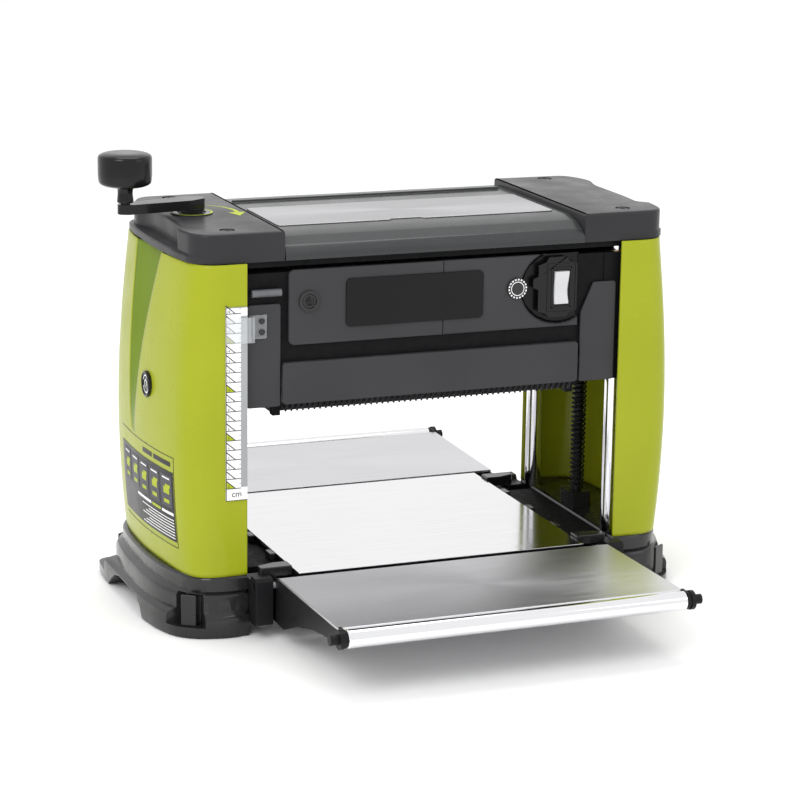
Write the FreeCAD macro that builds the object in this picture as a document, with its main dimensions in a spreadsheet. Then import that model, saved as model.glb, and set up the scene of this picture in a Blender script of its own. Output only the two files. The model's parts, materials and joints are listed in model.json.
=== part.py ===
import FreeCAD, Part
import math
import os
import re
import Sketcher

# A benchtop thickness planer.  +X is to the operator's right, +Y is the feed direction
# (the infeed side is -Y), +Z is up.  The origin is on the bench, in the middle of the four
# bench bolts.  The cutting carriage is drawn raised to the top of its travel.

SIZES = [
    # alias, millimetres, what it is
    ("table_half", 159, "half the planing width"),
    ("table_reach", 148, "main table, centre to front edge"),
    ("table_top", 67.4, "height of the main table's face"),
    ("sheet_gauge", 3, "thickness of the main table's sheet"),
    ("frame_half", 159, "half the width of the frame under the table's ends"),
    ("frame_floor", 34, "underside of the table frame"),
    ("leaf_half", 183.4, "half the width of a folding table"),
    ("leaf_near", 156, "folding table, inner edge"),
    ("leaf_far", 330, "folding table, outer edge"),
    ("leaf_near_top", 66.8, "height of the folding table's face at its inner edge"),
    ("leaf_far_top", 69.4, "height of the folding table's face at its outer edge"),
    ("leaf_gauge", 2.6, "thickness of the folding table's sheet"),
    ("arm_gauge", 2.9, "thickness of the folding table's side arm"),
    ("pivot_reach", 143, "folding table's pivot, from the centre"),
    ("pivot_height", 56, "folding table's pivot, above the bench"),
    ("pivot_radius", 4, "folding table's pivot pin"),
    ("roller_reach", 342, "end roller's axis, from the centre"),
    ("roller_height", 62.5, "end roller's axis, above the bench"),
    ("roller_radius", 9.5, "end roller"),
    ("axle_radius", 3.5, "end roller's axle"),
    ("run_gap", 0.05, "radial clearance of a running fit"),
    ("side_inner", 205.7, "inner edge of a side shell"),
    ("side_front", 122, "front of a side shell"),
    ("side_wide", 284, "outer face of a side shell at its middle"),
    ("shell_gauge", 3, "wall of a side shell"),
    ("base_top", 63, "top of the base, where a shell stands"),
    ("base_wide", 297, "widest point of the base"),
    ("shell_top", 384.6, "top of a shell, where a cap sits"),
    ("cap_inner", 164.6, "inner edge of a top cap"),
    ("cap_top", 414.8, "top of a cap"),
    ("cap_wide", 262, "outer edge of a top cap"),
    ("cap_front", 118, "front of a top cap"),
    ("cover_top", 409, "top of the middle cover"),
    ("column_x", 211, "guide column, from the middle"),
    ("column_y", 100, "guide column, from the middle"),
    ("column_radius", 9, "guide column"),
    ("screw_x", 223, "lifting screw, from the middle"),
    ("screw_y", 8, "lifting screw, towards the outfeed side"),
    ("screw_radius", 5, "lifting screw"),
    ("spring_radius", 8.5, "outside of the spring round a lifting screw"),
    ("spring_bottom", 80, "foot of the spring"),
    ("nut_bottom", 350, "underside of the lifting nut"),
    ("sprocket_radius", 22, "sprocket on a lifting screw"),
    ("head_half", 190, "half the width of the carriage casting"),
    ("head_reach", 112, "carriage casting, centre to front wall"),
    ("head_top", 372, "top of the carriage casting"),
    ("head_bottom", 219, "lowest point of the carriage casting"),
    ("wall_inner", 160, "inner face of the carriage's side wall"),
    ("wall_outer", 168, "outer face of the carriage's side wall"),
    ("slide_wide", 238, "outer face of the carriage's column slide"),
    ("slide_bottom", 236, "underside of the carriage's column slide"),
    ("cutter_height", 244, "cutterhead's axis"),
    ("drum_radius", 22.5, "cutterhead drum"),
    ("journal_radius", 10, "cutterhead journal"),
    ("feed_y", 68, "feed roller's axis, from the cutterhead's"),
    ("feed_height", 235.5, "feed roller's axis"),
    ("feed_radius", 17, "feed roller"),
    ("feed_journal", 8, "feed roller's journal"),
    ("motor_y", 20, "motor's axis"),
    ("motor_height", 318, "motor's axis"),
    ("motor_radius", 42, "motor housing"),
    ("fascia_front", 117, "front face of the carriage's fascia"),
    ("fascia_bottom", 297.5, "lower edge of the fascia"),
    ("fascia_top", 374.5, "upper edge of the fascia"),
    ("guard_bottom", 237, "lower edge of the front guard"),
    ("guard_top", 280, "upper edge of the front guard"),
    ("pawl_y", 104, "pawl rod's axis"),
    ("pawl_height", 258, "pawl rod's axis"),
    ("pawl_pitch", 6.2, "spacing of the pawls"),
    ("crank_x", 297, "crank knob's axis, from the middle"),
    ("crank_y", 5, "crank knob's axis, towards the infeed side"),
    ("crank_top", 430, "top of the crank's arm"),
    ("knob_top", 483, "top of the crank's knob"),
    ("knob_radius", 27.5, "crank's knob"),
    ("bolt_x", 262, "bench bolt, from the middle"),
    ("bolt_y", 108, "bench bolt, from the middle"),
    ("bolt_radius", 4.5, "bench bolt hole"),
    ("port_x", 60, "dust port's axis"),
    ("port_height", 300, "dust port's axis"),
    ("port_radius", 29, "bore of the dust port"),
]
PAWL_COUNT = 52
TURN_TO = {
    "x": FreeCAD.Rotation(FreeCAD.Vector(0, 1, 0), 90),
    "y": FreeCAD.Rotation(FreeCAD.Vector(1, 0, 0), -90),
    "z": FreeCAD.Rotation(),
}
PLANE_OF = {"x": "YZ_Plane", "y": "XZ_Plane", "z": "XY_Plane"}

doc = FreeCAD.newDocument("thickness_planer")
sheet = doc.addObject("Spreadsheet::Sheet", "Dims")
for row, (alias, size, meaning) in enumerate(SIZES, start=1):
    sheet.set(f"A{row}", alias)
    sheet.set(f"B{row}", str(size))
    sheet.set(f"C{row}", meaning)
    sheet.setAlias(f"B{row}", alias)
doc.recompute()

nodes = []


# ---------------------------------------------------------------- helpers

def formula(text):
    """A size written with the sheet's aliases, as an expression."""
    return re.sub(r"[a-z]\w*", r"Dims.\g<0>", str(text))


def value(text):
    """The same size as a number."""
    sizes = {alias: size for alias, size, _ in SIZES}
    total = re.sub(r"[a-z]\w*", lambda word: repr(sizes[word[0]]), str(text))
    return float(FreeCAD.Units.Quantity(total).Value)


def span(pair):
    return f"({pair[1]}) - ({pair[0]})"


def bind(thing, **formulas):
    for name, text in formulas.items():
        thing.setExpression(name, formula(text))


def place(thing, x, y, z):
    for letter, text in zip("xyz", (x, y, z)):
        thing.setExpression(f"Placement.Base.{letter}", formula(text))


def box(name, xs, ys, zs):
    solid = doc.addObject("Part::Box", name)
    bind(solid, Length=span(xs), Width=span(ys), Height=span(zs))
    place(solid, xs[0], ys[0], zs[0])
    return solid


def at_axis(axis, along, a, b):
    """A point from its place along an axis and its two other coordinates, in X, Y, Z order."""
    return {"x": (along, a, b), "y": (a, along, b), "z": (a, b, along)}[axis]


def rod(name, axis, radius, ends, a, b):
    solid = doc.addObject("Part::Cylinder", name)
    solid.Placement = FreeCAD.Placement(FreeCAD.Vector(), TURN_TO[axis])
    bind(solid, Radius=radius, Height=span(ends))
    place(solid, *at_axis(axis, ends[0], a, b))
    return solid


def cone(name, axis, radii, ends, a, b):
    solid = doc.addObject("Part::Cone", name)
    solid.Placement = FreeCAD.Placement(FreeCAD.Vector(), TURN_TO[axis])
    bind(solid, Radius1=radii[0], Radius2=radii[1], Height=span(ends))
    place(solid, *at_axis(axis, ends[0], a, b))
    return solid


def join(name, *pieces):
    whole = doc.addObject("Part::MultiFuse", name)
    whole.Shapes = list(pieces)
    whole.Refine = True
    return whole


def cut(name, base, *tools):
    whole = doc.addObject("Part::Cut", name)
    whole.Base = base
    whole.Tool = tools[0] if len(tools) == 1 else join(name + "_tools", *tools)
    whole.Refine = True
    return whole


def mirrored(name, source, normal=(1, 0, 0)):
    twin = doc.addObject("Part::Mirroring", name)
    twin.Source = source
    twin.Normal = normal
    return twin


def pair(name, make):
    """Two twins, left and right, in one sub-part.  make(name) makes the left one."""
    left = make(name + "_l")
    return join(name, left, mirrored(name + "_r", left))


def ring(name, axis, outer, inner, ends, a, b):
    return cut(name, rod(name + "_outside", axis, outer, ends, a, b),
               rod(name + "_inside", axis, inner, ends, a, b))


def plane(body, role):
    return next(f for f in body.Origin.OriginFeatures if f.Role == role)


def outline(sketch, points):
    """A closed outline whose every corner is held to the sheet's sizes."""
    ends = [FreeCAD.Vector(value(x), value(y)) for x, y in points]
    count = len(points)
    for i in range(count):
        sketch.addGeometry(Part.LineSegment(ends[i], ends[(i + 1) % count]), False)
    for i in range(count):
        sketch.addConstraint(Sketcher.Constraint("Coincident", i, 2, (i + 1) % count, 1))
    for i, corner in enumerate(points):
        for kind, axis_line, text in (("DistanceX", -2, corner[0]), ("DistanceY", -1, corner[1])):
            if value(text) == 0:
                sketch.addConstraint(Sketcher.Constraint("PointOnObject", i, 1, axis_line))
                continue
            constraint = Sketcher.Constraint(kind, -1, 1, i, 1, value(text))
            index = sketch.addConstraint(constraint)
            sketch.setExpression(f"Constraints[{index}]", formula(text))


def prism(name, axis, points, ends, rounds=()):
    """A body padded along an axis from an outline in the other two coordinates.

    rounds lists (radius, corner numbers) for the edges that run along the axis."""
    body = doc.addObject("PartDesign::Body", name)
    sketch = body.newObject("Sketcher::SketchObject", name + "_outline")
    sketch.AttachmentSupport = [(plane(body, PLANE_OF[axis]), "")]
    sketch.MapMode = "FlatFace"
    start = ends[0] if axis != "y" else f"-({ends[1]})"
    sketch.setExpression("AttachmentOffset.Base.z", formula(start))
    outline(sketch, points)
    pad = body.newObject("PartDesign::Pad", name + "_pad")
    pad.Profile = sketch
    pad.setExpression("Length", formula(span(ends)))
    for number, (radius, corners) in enumerate(rounds):
        doc.recompute()
        rough = body.Tip
        corner_edges = edges_at(rough.Shape, axis, [points[i] for i in corners])
        fillet = body.newObject("PartDesign::Fillet", f"{name}_round{number}")
        fillet.Base = (rough, corner_edges)
        bind(fillet, Radius=radius)
    return body


def edges_at(shape, axis, corners):
    """Names of the edges along an axis that pass through the given corners."""
    drop = "xyz".index(axis)
    found = []
    for number, edge in enumerate(shape.Edges, start=1):
        ends = [[v.Point[i] for i in range(3) if i != drop] for v in edge.Vertexes]
        if len(ends) != 2 or math.dist(*ends) > 0.01:
            continue
        if any(math.dist(ends[0], [value(x), value(y)]) < 0.01 for x, y in corners):
            found.append(f"Edge{number}")
    return found


def node(name, thing):
    """Names a finished sub-part, which is also the name of its file."""
    thing.Label = name
    nodes.append(thing)
    return thing


# ---------------------------------------------------------------- base and table

def base_side():
    """One foot of the machine: a skirt with an arch, a ledge, and the seat of the shell."""
    skirt = prism("base_skirt", "z", [
        ("-side_inner", -130), (-228, -134), (-261, -126), (-278, -112), (-290, -80),
        ("-base_wide", -40), ("-base_wide", 100), (-292, 138), (-270, 142),
        ("-side_inner", 142)], (0, 26), [(14, (2, 3)), (8, (7, 8))])
    ledge = prism("base_ledge", "z", [
        ("-side_inner", -125), (-250, -125), (-268, -107), (-289, -62), (-290, 40),
        (-282, 100), (-268, 128), ("-side_inner", 130)], (26, 46), [(12, (1, 2, 6))])
    seat = prism("base_seat", "z", [
        ("-side_inner", -123), (-250, -123), (-266, -106), (-281, -54), (-284, 10),
        (-278, 98), (-262, 122), ("-side_inner", 122)], (46, "base_top"), [(12, (1, 2, 6))])
    whole = join("base_solid", skirt, ledge, seat)
    arch = prism("base_arch", "x", [(-43, -1), (-37, 16), (-26, 22), (40, 22), (62, 15), (84, -1)],
                 (-300, -262))
    front_pocket = box("base_pocket_front", (-300, -250), (-140, -96), (12, 46))
    rear_pocket = box("base_pocket_rear", (-300, -250), (96, 150), (12, 46))
    chain_room = box("base_chain_room", (-262, "-side_inner + 1"), (-40, 58), (-1, 30))
    rear_room = box("base_rear_room", (-244, "-side_inner + 1"), (66, 112), (-1, 30))
    front_room = box("base_front_room", (-244, "-side_inner + 1"), (-112, -48), (-1, 30))
    holes = [rod(f"base_bolt{n}", "z", "bolt_radius", (-1, 13), "-bolt_x", y)
             for n, y in enumerate(("-bolt_y", "bolt_y"))]
    holes += [rod(f"base_column{n}", "z", "column_radius", (52, 64), "-column_x", y)
              for n, y in enumerate(("-column_y", "column_y"))]
    holes += [rod(f"base_pad{n}", "z", 11, (-1, 5), x, y) for n, (x, y) in enumerate(FOOT_PADS)]
    holes.append(rod("base_screw", "z", "screw_radius + 1", (20, 64), "-screw_x", "screw_y"))
    return cut("base_side", whole, arch, front_pocket, rear_pocket, chain_room, front_room,
               rear_room, *holes)


FOOT_PADS = ((-270, -80), (-278, 126))

base_left = node("base_left", base_side())
node("base_right", mirrored("base_mirror", base_left))
node("rubber_feet", pair("feet", lambda n: join(n, *[
    rod(f"{n}{i}", "z", 11, (0, 5), x, y) for i, (x, y) in enumerate(FOOT_PADS)])))

frame_ends = box("frame_ends", ("-frame_half", "frame_half"), (-140, 140),
                 ("frame_floor", "table_top - sheet_gauge"))
frame_wings = box("frame_wings", ("-side_inner", "side_inner"), (-90, 90), ("frame_floor", 60))
frame_rooms = [box(f"frame_room{n}", xs, ys, (33, "table_top - sheet_gauge - 5"))
               for n, (xs, ys) in enumerate((
                   ((-158, -82), (-133, -4)), ((-78, -2), (-133, -4)), ((2, 78), (-133, -4)),
                   ((82, 158), (-133, -4)), ((-158, -82), (4, 133)), ((-78, -2), (4, 133)),
                   ((2, 78), (4, 133)), ((82, 158), (4, 133))))]
node("table_frame", cut("table_frame_cut", join("table_frame_whole", frame_ends, frame_wings),
                        *frame_rooms))

table_sheet = box("table_sheet", ("-table_half", "table_half"), ("-table_reach", "table_reach"),
                  ("table_top - sheet_gauge", "table_top"))
table_lips = [box(f"table_lip{n}", ("-table_half", "table_half"), ys,
                  ("table_top - 14", "table_top - sheet_gauge"))
              for n, ys in enumerate((("-table_reach", "-table_reach + 2"),
                                      ("table_reach - 2", "table_reach")))]
node("main_table", join("main_table_whole", table_sheet, *table_lips))


def four(name, make):
    """Four twins, one at each corner.  make(name) makes the front left one."""
    left_front = make(name + "_lf")
    front = join(name + "_front", left_front, mirrored(name + "_rf", left_front))
    return join(name, front, mirrored(name + "_rear", front, (0, 1, 0)))


def cheek(name):
    plate = prism(name + "_plate", "x", [
        ("-pivot_reach - 7", 15), ("-pivot_reach - 7", 65), (-134, 65), (-131, 60), (-110, 60),
        (-110, 22), (-117, 15)], ("-side_inner", -187), [(4, (0, 1, 6))])
    hole = rod(name + "_hole", "x", "pivot_radius", ("-side_inner - 1", -180),
               "-pivot_reach", "pivot_height")
    return cut(name, plate, hole)


def pivot_pin(name):
    pin = rod(name + "_pin", "x", "pivot_radius", (-200, -177), "-pivot_reach", "pivot_height")
    clip = rod(name + "_clip", "x", "pivot_radius + 2.5", (-179.6, -177), "-pivot_reach",
               "pivot_height")
    return join(name, pin, clip)


node("hinge_cheeks", four("cheeks", cheek))
node("hinge_pins", four("pins", pivot_pin))
corner_blocks = four("corners", lambda n: prism(n, "z", [
    (-194, -130), (-160, -130), (-160, -113), (-176, -113), (-194, -119)], (60, 70.4),
    [(2.5, (0, 4))]))
table_clips = [box(f"clip{n}", (x, x + 6.5), (y, y + 16), (60, "table_top"))
               for n, (x, y) in enumerate((x, y) for x in (-166, 159.5) for y in (-76, -8, 60))]
node("table_guides", join("guides", corner_blocks, *table_clips))
node("guide_columns", join("columns", *[
    rod(f"column{n}", "z", "column_radius", (52, "shell_top"), x, y)
    for n, (x, y) in enumerate((x, y) for x in ("-column_x", "column_x")
                               for y in ("-column_y", "column_y"))]))
screw_bosses = pair("bosses", lambda n: cut(
    n, prism(n + "_block", "z", [(-236, -6), (-209, -6), (-209, 22), (-236, 22)],
             ("base_top", "spring_bottom"), [(5, (0, 1, 2, 3))]),
    rod(n + "_bore", "z", "screw_radius + run_gap", (62, "spring_bottom + 1"), "-screw_x",
        "screw_y")))

# ---------------------------------------------------------------- side shells, crown and caps

SHELL_LINE = [
    ("-side_inner", "-side_front"), (-232, "-side_front - 1"), (-252, -119), (-265, -106),
    (-278, -60), ("-side_wide", 0), (-282, 68), (-271, 108), (-252, 119), ("-side_inner", 121)]
SHELL_ROUNDS = [(16, (2, 3)), (60, (5,)), (12, (7, 8))]
SHELL_HOLLOW = [
    ("-side_inner + 1", "-side_front + shell_gauge"), (-231, "-side_front + 2"), (-250, -116),
    (-262, -104.5), (-275, -59.5), ("-side_wide + shell_gauge", 0), (-279, 67), (-268.4, 106),
    (-250.5, 116), ("-side_inner + 1", 118)]
GRIP_LINE = [(-38, 391), (-33, 372), (-22, 340), (0, 262), (13, 186), (24, 210), (33, 256),
             (37, 310), (39, 391)]


def side_shell():
    outside = prism("shell_outside", "z", SHELL_LINE, ("base_top", "shell_top"), SHELL_ROUNDS)
    inside = prism("shell_inside", "z", SHELL_HOLLOW, ("base_top - 1", "shell_top + 1"),
                   [(13, (2, 3)), (60, (5,)), (9, (7, 8))])
    grip_gap = prism("grip_gap", "x", GRIP_LINE, (-300, -250))
    plug_hole = rod("plug_hole", "x", 13.5, (-300, -250), -28, 247)
    return cut("side_shell", outside, inside, grip_gap, plug_hole)


shell_left = node("side_shell_left", side_shell())
node("side_shell_right", mirrored("side_shell_mirror", shell_left))
grip_block = prism("grip_block", "x", [(-42, 377), (-39, 366), (-27, 336), (-5, 258), (8, 178),
                                       (19, 178), (29, 206), (38, 254), (43, 310), (44, 377)],
                   (-272, -267))
node("grip_inserts", join("grips", grip_block, mirrored("grip_right", grip_block)))
node("shell_plugs", pair("plugs", lambda n: cut(
    n, rod(n + "_disc", "x", 13.5, (-285.5, -276), -28, 247),
    rod(n + "_dish", "x", 10.5, (-286, -284), -28, 247))))
node("scale_strip", box("scale_plate", (-229, -206.2), ("-side_front - 1.9", "-side_front - 1.0"),
                        (143, 342)))


def crown(name):
    plate = prism(name + "_plate", "z", [
        (-170, -112), (-245, -112), (-258, -98), (-268, -55), (-272, 0), (-270, 60), (-260, 100),
        (-246, 112), (-170, 112)], (378, "shell_top"), [(8, (2, 6))])
    holes = [rod(f"{name}_column{n}", "z", "column_radius", (377, 386), "-column_x", y)
             for n, y in enumerate(("-column_y", "column_y"))]
    holes.append(rod(name + "_bearing", "z", 11, (377, 386), "-screw_x", "screw_y"))
    return cut(name, plate, *holes)


crown_bars = [box(f"crown_bar{n}", (-170, 170), ys, (378, "shell_top"))
              for n, ys in enumerate(((-112, -84), (84, 112)))]
node("crown_frame", join("crown_whole", pair("crown", crown), *crown_bars))
upper_bearings = pair("bearings", lambda n: ring(
    n, "z", 11, "screw_radius + run_gap", (376.6, 388), "-screw_x", "screw_y"))
node("screw_bearings", join("screw_bearings_whole", screw_bosses, upper_bearings))

CAP_LINE = [
    ("-cap_inner", "-cap_front"), (-246, "-cap_front + 3"), (-259, -104), ("-cap_wide", -69),
    (-252, -61), (-255, -28), (-255, 50), ("-cap_wide", 76), (-260, 96), (-248, 120),
    ("-cap_inner", 122)]


CAP_SCREWS = ((-218, -95), (-218, 104))


def top_cap(name, rim, screw_hole):
    """A hollow cap on a shell, with a lip that hooks over the shell's edge."""
    outside = prism(name + "_outside", "z", CAP_LINE, ("shell_top", "cap_top"),
                    [(11, (1, 2, 9)), (5, (3, 7)), (4, (4, 6))])
    inside = prism(name + "_inside", "z", [
        ("-cap_inner - 3", -114), (-244, -112), (-255, -101), (-257, -72), (-248.5, -62),
        (-251, -28), (-251, 50), (-258, 78), (-256, 94), (-246, 115), ("-cap_inner - 3", 118)],
        ("shell_top - 1", "cap_top - 4"))
    lip = prism(name + "_lip", "z", rim, ("shell_top", "shell_top + 8"), [(9, (1, 5))])
    rows = [rod(f"{name}_recess{n}", "z", 8, ("cap_top - 3.2", "cap_top + 1"), x, y)
            for n, (x, y) in enumerate(CAP_SCREWS)]
    rows += [rod(f"{name}_shank{n}", "z", 2.6, (400, "cap_top"), x, y)
             for n, (x, y) in enumerate(CAP_SCREWS)]
    if screw_hole:
        rows.append(rod(name + "_shaft", "z", 9, (400, 416), "-screw_x", "screw_y"))
    return cut(name, join(name + "_solid", outside, lip), inside, *rows)


CAP_RIM = [(-244, -112), (-258, -106), (-262, -92), (-267, -13), (-266, 67), (-261, 108),
           (-244, 114), (-240, 90), (-240, -90)]
cap_left = node("top_cap_left", top_cap("cap_left", CAP_RIM, True))
cap_right_twin = top_cap("cap_right", CAP_RIM, False)
node("top_cap_right", mirrored("cap_right_mirror", cap_right_twin))
node("cap_screws", pair("heads", lambda n: join(n, *[
    cut(f"{n}_screw{i}", rod(f"{n}_head{i}", "z", 6, ("cap_top - 3.2", "cap_top - 0.4"), x, y),
        box(f"{n}_slot{i}a", (x - 3.4, x + 3.4), (y - 0.7, y + 0.7), ("cap_top - 1.8", 415)),
        box(f"{n}_slot{i}b", (x - 0.7, x + 0.7), (y - 3.4, y + 3.4), ("cap_top - 1.8", 415)))
    for i, (x, y) in enumerate(CAP_SCREWS)])))
node("crank_ring", ring("ring_whole", "z", 22, 15, ("cap_top", "cap_top + 1.2"), "-screw_x",
                        "screw_y"))

COVER_LINE = [(-120, "shell_top + 0.2"), (-120, 391), (-112, 399), (-96, 405.5),
              (-79, "cover_top"), (112, "cover_top"), (120, 402), (120, "shell_top + 0.2")]
COVER_HOLLOW = [(-116.5, 384), (-116.5, 390), (-110, 396), (-95, 402.4), (-78, 405.8),
                (110, 405.8), (116.5, 400), (116.5, 384)]
cover_outside = prism("cover_outside", "x", COVER_LINE, ("-cap_inner + 0.3", "cap_inner - 0.3"),
                      [(14, (3,)), (6, (1, 2))])
cover_inside = prism("cover_inside", "x", COVER_HOLLOW, (-161.5, 161.5))
cover_rib = box("cover_rib", (-154, 154), (85, 89), ("cover_top - 1", "cover_top + 2.6"))
node("top_cover", join("cover_whole", cut("cover_cut", cover_outside, cover_inside), cover_rib))
node("top_tray", prism("tray_plate", "z", [
    (-153, -62), (-32, -62), (-27, -57), (3, -57), (8, -62), (153, -62), (153, 43), (-153, 43)],
    ("cover_top", "cover_top + 1.4"), [(4, (0, 5, 6, 7))]))

# ---------------------------------------------------------------- lifting gear

spring_ends = ("spring_bottom + 0.1", "nut_bottom - 0.1")
node("screw_springs", pair("springs", lambda n: ring(
    n, "z", "spring_radius", "spring_radius - 1.9", spring_ends, "-screw_x", "screw_y")))


def screw(name, top):
    return rod(name + "_shaft", "z", "screw_radius", (11, top), "-screw_x", "screw_y")


def sprocket(name):
    """A chain sprocket: a disc whose rim is cut by a ring of round tooth gaps."""
    teeth = 18
    disc = rod(name + "_disc", "z", "sprocket_radius", (13, 19), "-screw_x", "screw_y")
    hub = rod(name + "_hub", "z", 10, (19, 26), "-screw_x", "screw_y")
    bore = rod(name + "_bore", "z", "screw_radius", (11, 28), "-screw_x", "screw_y")
    reach = value("sprocket_radius") + 1.2
    gaps = [rod(f"{name}_gap{n}", "z", 2.2, (12, 20),
                f"-screw_x + {reach * math.cos(2 * math.pi * n / teeth):.4f}",
                f"screw_y + {reach * math.sin(2 * math.pi * n / teeth):.4f}")
            for n in range(teeth)]
    return cut(name, join(name + "_solid", disc, hub), bore, *gaps)


node("lead_screw_left", join("screw_left", screw("screw_left", "cap_top + 7"),
                             sprocket("sprocket_left")))
node("lead_screw_right", mirrored("screw_right_mirror", join(
    "screw_right", screw("screw_right", 392), sprocket("sprocket_right"))))


def loop(name, axis, ends, radius):
    """A stadium round two equal wheels at the lifting screws."""
    middle = box(name + "_middle", ("-screw_x", "screw_x"),
                 (f"screw_y - ({radius})", f"screw_y + {radius}"), ends)
    rounds = [rod(f"{name}_end{n}", axis, radius, ends, x, "screw_y")
              for n, x in enumerate(("-screw_x", "screw_x"))]
    return join(name, middle, *rounds)


node("drive_chain", cut("chain_cut", loop("chain_out", "z", (14, 18), "sprocket_radius + 4.5"),
                        loop("chain_in", "z", (13, 19), "sprocket_radius + 0.4")))

# ---------------------------------------------------------------- crank

arm_bar = prism("crank_bar", "z", [
    ("-screw_x + 14", "screw_y - 3"), ("-screw_x + 14", "screw_y + 9"),
    ("-screw_x - 4", "screw_y + 14"), ("-crank_x + 2", "-crank_y + 9"),
    ("-crank_x - 8", "-crank_y + 4"), ("-crank_x - 8", "-crank_y - 5"),
    ("-crank_x + 2", "-crank_y - 9"), ("-screw_x - 4", "screw_y - 13")],
    ("crank_top - 10", "crank_top"), [(6, (0, 1, 4, 5)), (12, (2, 7))])
crank_hub = rod("crank_hub", "z", 13.4, ("cap_top + 1.6", "crank_top - 10"), "-screw_x", "screw_y")
crank_seat = rod("crank_seat", "z", "screw_radius", (412, "cap_top + 7"), "-screw_x", "screw_y")
crank_stud = rod("crank_stud", "z", 5, ("crank_top - 1", "crank_top + 36"), "-crank_x",
                 "-crank_y")
node("crank_arm", cut("crank_whole", join("crank_solid", arm_bar, crank_hub, crank_stud),
                      crank_seat))


def crank_knob():
    """A mushroom knob on a neck, free to turn on the crank's stud."""
    neck = rod("knob_neck", "z", 8, ("crank_top + 1.5", "crank_top + 17"), "-crank_x", "-crank_y")
    flare = cone("knob_flare", "z", (14, "knob_radius"), ("crank_top + 16", "crank_top + 27"),
                 "-crank_x", "-crank_y")
    drum = rod("knob_drum", "z", "knob_radius", ("crank_top + 27", "knob_top - 12"), "-crank_x",
               "-crank_y")
    crest = cone("knob_crest", "z", ("knob_radius", 17), ("knob_top - 12", "knob_top"),
                 "-crank_x", "-crank_y")
    bore = rod("knob_bore", "z", "5 + run_gap", ("crank_top", "crank_top + 36.6"), "-crank_x",
               "-crank_y")
    return cut("knob_whole", join("knob_solid", neck, flare, drum, crest), bore)


node("crank_knob", crank_knob())

# ---------------------------------------------------------------- carriage structure

head_block = box("head_block", ("-head_half", "head_half"), ("-head_reach", "head_reach"),
                 ("head_bottom", "head_top"))
head_cuts = [
    box("head_room", ("-wall_inner", "wall_inner"), (-106, 106), (218, 366)),
    box("head_left_room", ("-head_half - 1", "-wall_outer"), (-106, 106), (218, 366)),
    box("head_right_room", ("wall_outer", "head_half + 1"), (-106, 106), (218, 366)),
    box("head_front_gap", ("-head_half - 1", "head_half + 1"), (-113, -105), (218, 270)),
    box("head_rear_gap", ("-head_half - 1", "head_half + 1"), (105, 113), (218, 240)),
    box("head_side_front", ("-wall_outer - 1", "wall_outer + 1"), (-113, -90), (218, 236)),
    box("head_side_rear", ("-wall_outer - 1", "wall_outer + 1"), (90, 113), (218, 236)),
    rod("head_cutter_bore", "x", 20, (-180, 180), 0, "cutter_height"),
    rod("head_motor_bore", "x", 12, (-180, -150), "motor_y", "motor_height"),
    rod("head_port_bore", "y", "port_radius + 4", (100, 120), "port_x", "port_height"),
]
head_cuts += [box(f"head_slot{n}", (-180, 180), ys, (218, 284))
              for n, ys in enumerate((("-feed_y - 12", "-feed_y + 12"),
                                      ("feed_y - 12", "feed_y + 12")))]
head_cuts += [rod(f"head_pawl_bore{n}", "x", 4, xs, "-pawl_y", "pawl_height")
              for n, xs in enumerate(((-180, -150), (150, 180)))]
fascia_cuts = [
    box("head_switch_gap", (116, 152), (-113, -105), (317, 363)),
    rod("head_reset_gap", "y", 6.4, (-113, -105), 88.5, 341),
]
node("head_casting", cut("head_cut", head_block, *head_cuts, *fascia_cuts))


def column_slide(name):
    """The casting that runs on two columns and is lifted by one screw."""
    block = prism(name + "_block", "z", [
        ("-head_half", -113), (-226, -113), ("-slide_wide", -98), ("-slide_wide", 98),
        (-226, 115), ("-head_half", 115)], ("slide_bottom", "head_top"), [(6, (1, 2, 3, 4))])
    lightening = [box(f"{name}_room{n}", (-235, -196), ys, ("slide_bottom - 1", 364))
                  for n, ys in enumerate(((-82, -12), (28, 82)))]
    bores = [rod(f"{name}_column{n}", "z", 11.5, ("slide_bottom - 1", 373), "-column_x", y)
             for n, y in enumerate(("-column_y", "column_y"))]
    spring_way = rod(name + "_spring", "z", "spring_radius + 1.5",
                     ("slide_bottom - 1", "nut_bottom"), "-screw_x", "screw_y")
    nut_seat = rod(name + "_nut", "z", 13, ("nut_bottom", 373), "-screw_x", "screw_y")
    return cut(name, block, spring_way, nut_seat, *lightening, *bores)


node("column_slides", pair("slides", column_slide))
column_bushes = pair("bushes", lambda n: join(n, *[
    ring(f"{n}{i}", "z", 11.5, "column_radius + run_gap", ends, "-column_x", y)
    for i, (y, ends) in enumerate((y, ends) for y in ("-column_y", "column_y")
                                  for ends in (("slide_bottom", 262), (346, "head_top")))]))
lifting_nuts = pair("nuts", lambda n: ring(
    n, "z", 13, "screw_radius + run_gap", ("nut_bottom", "head_top"), "-screw_x", "screw_y"))
node("slide_bushes", join("slide_bushes_whole", column_bushes, lifting_nuts))

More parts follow.
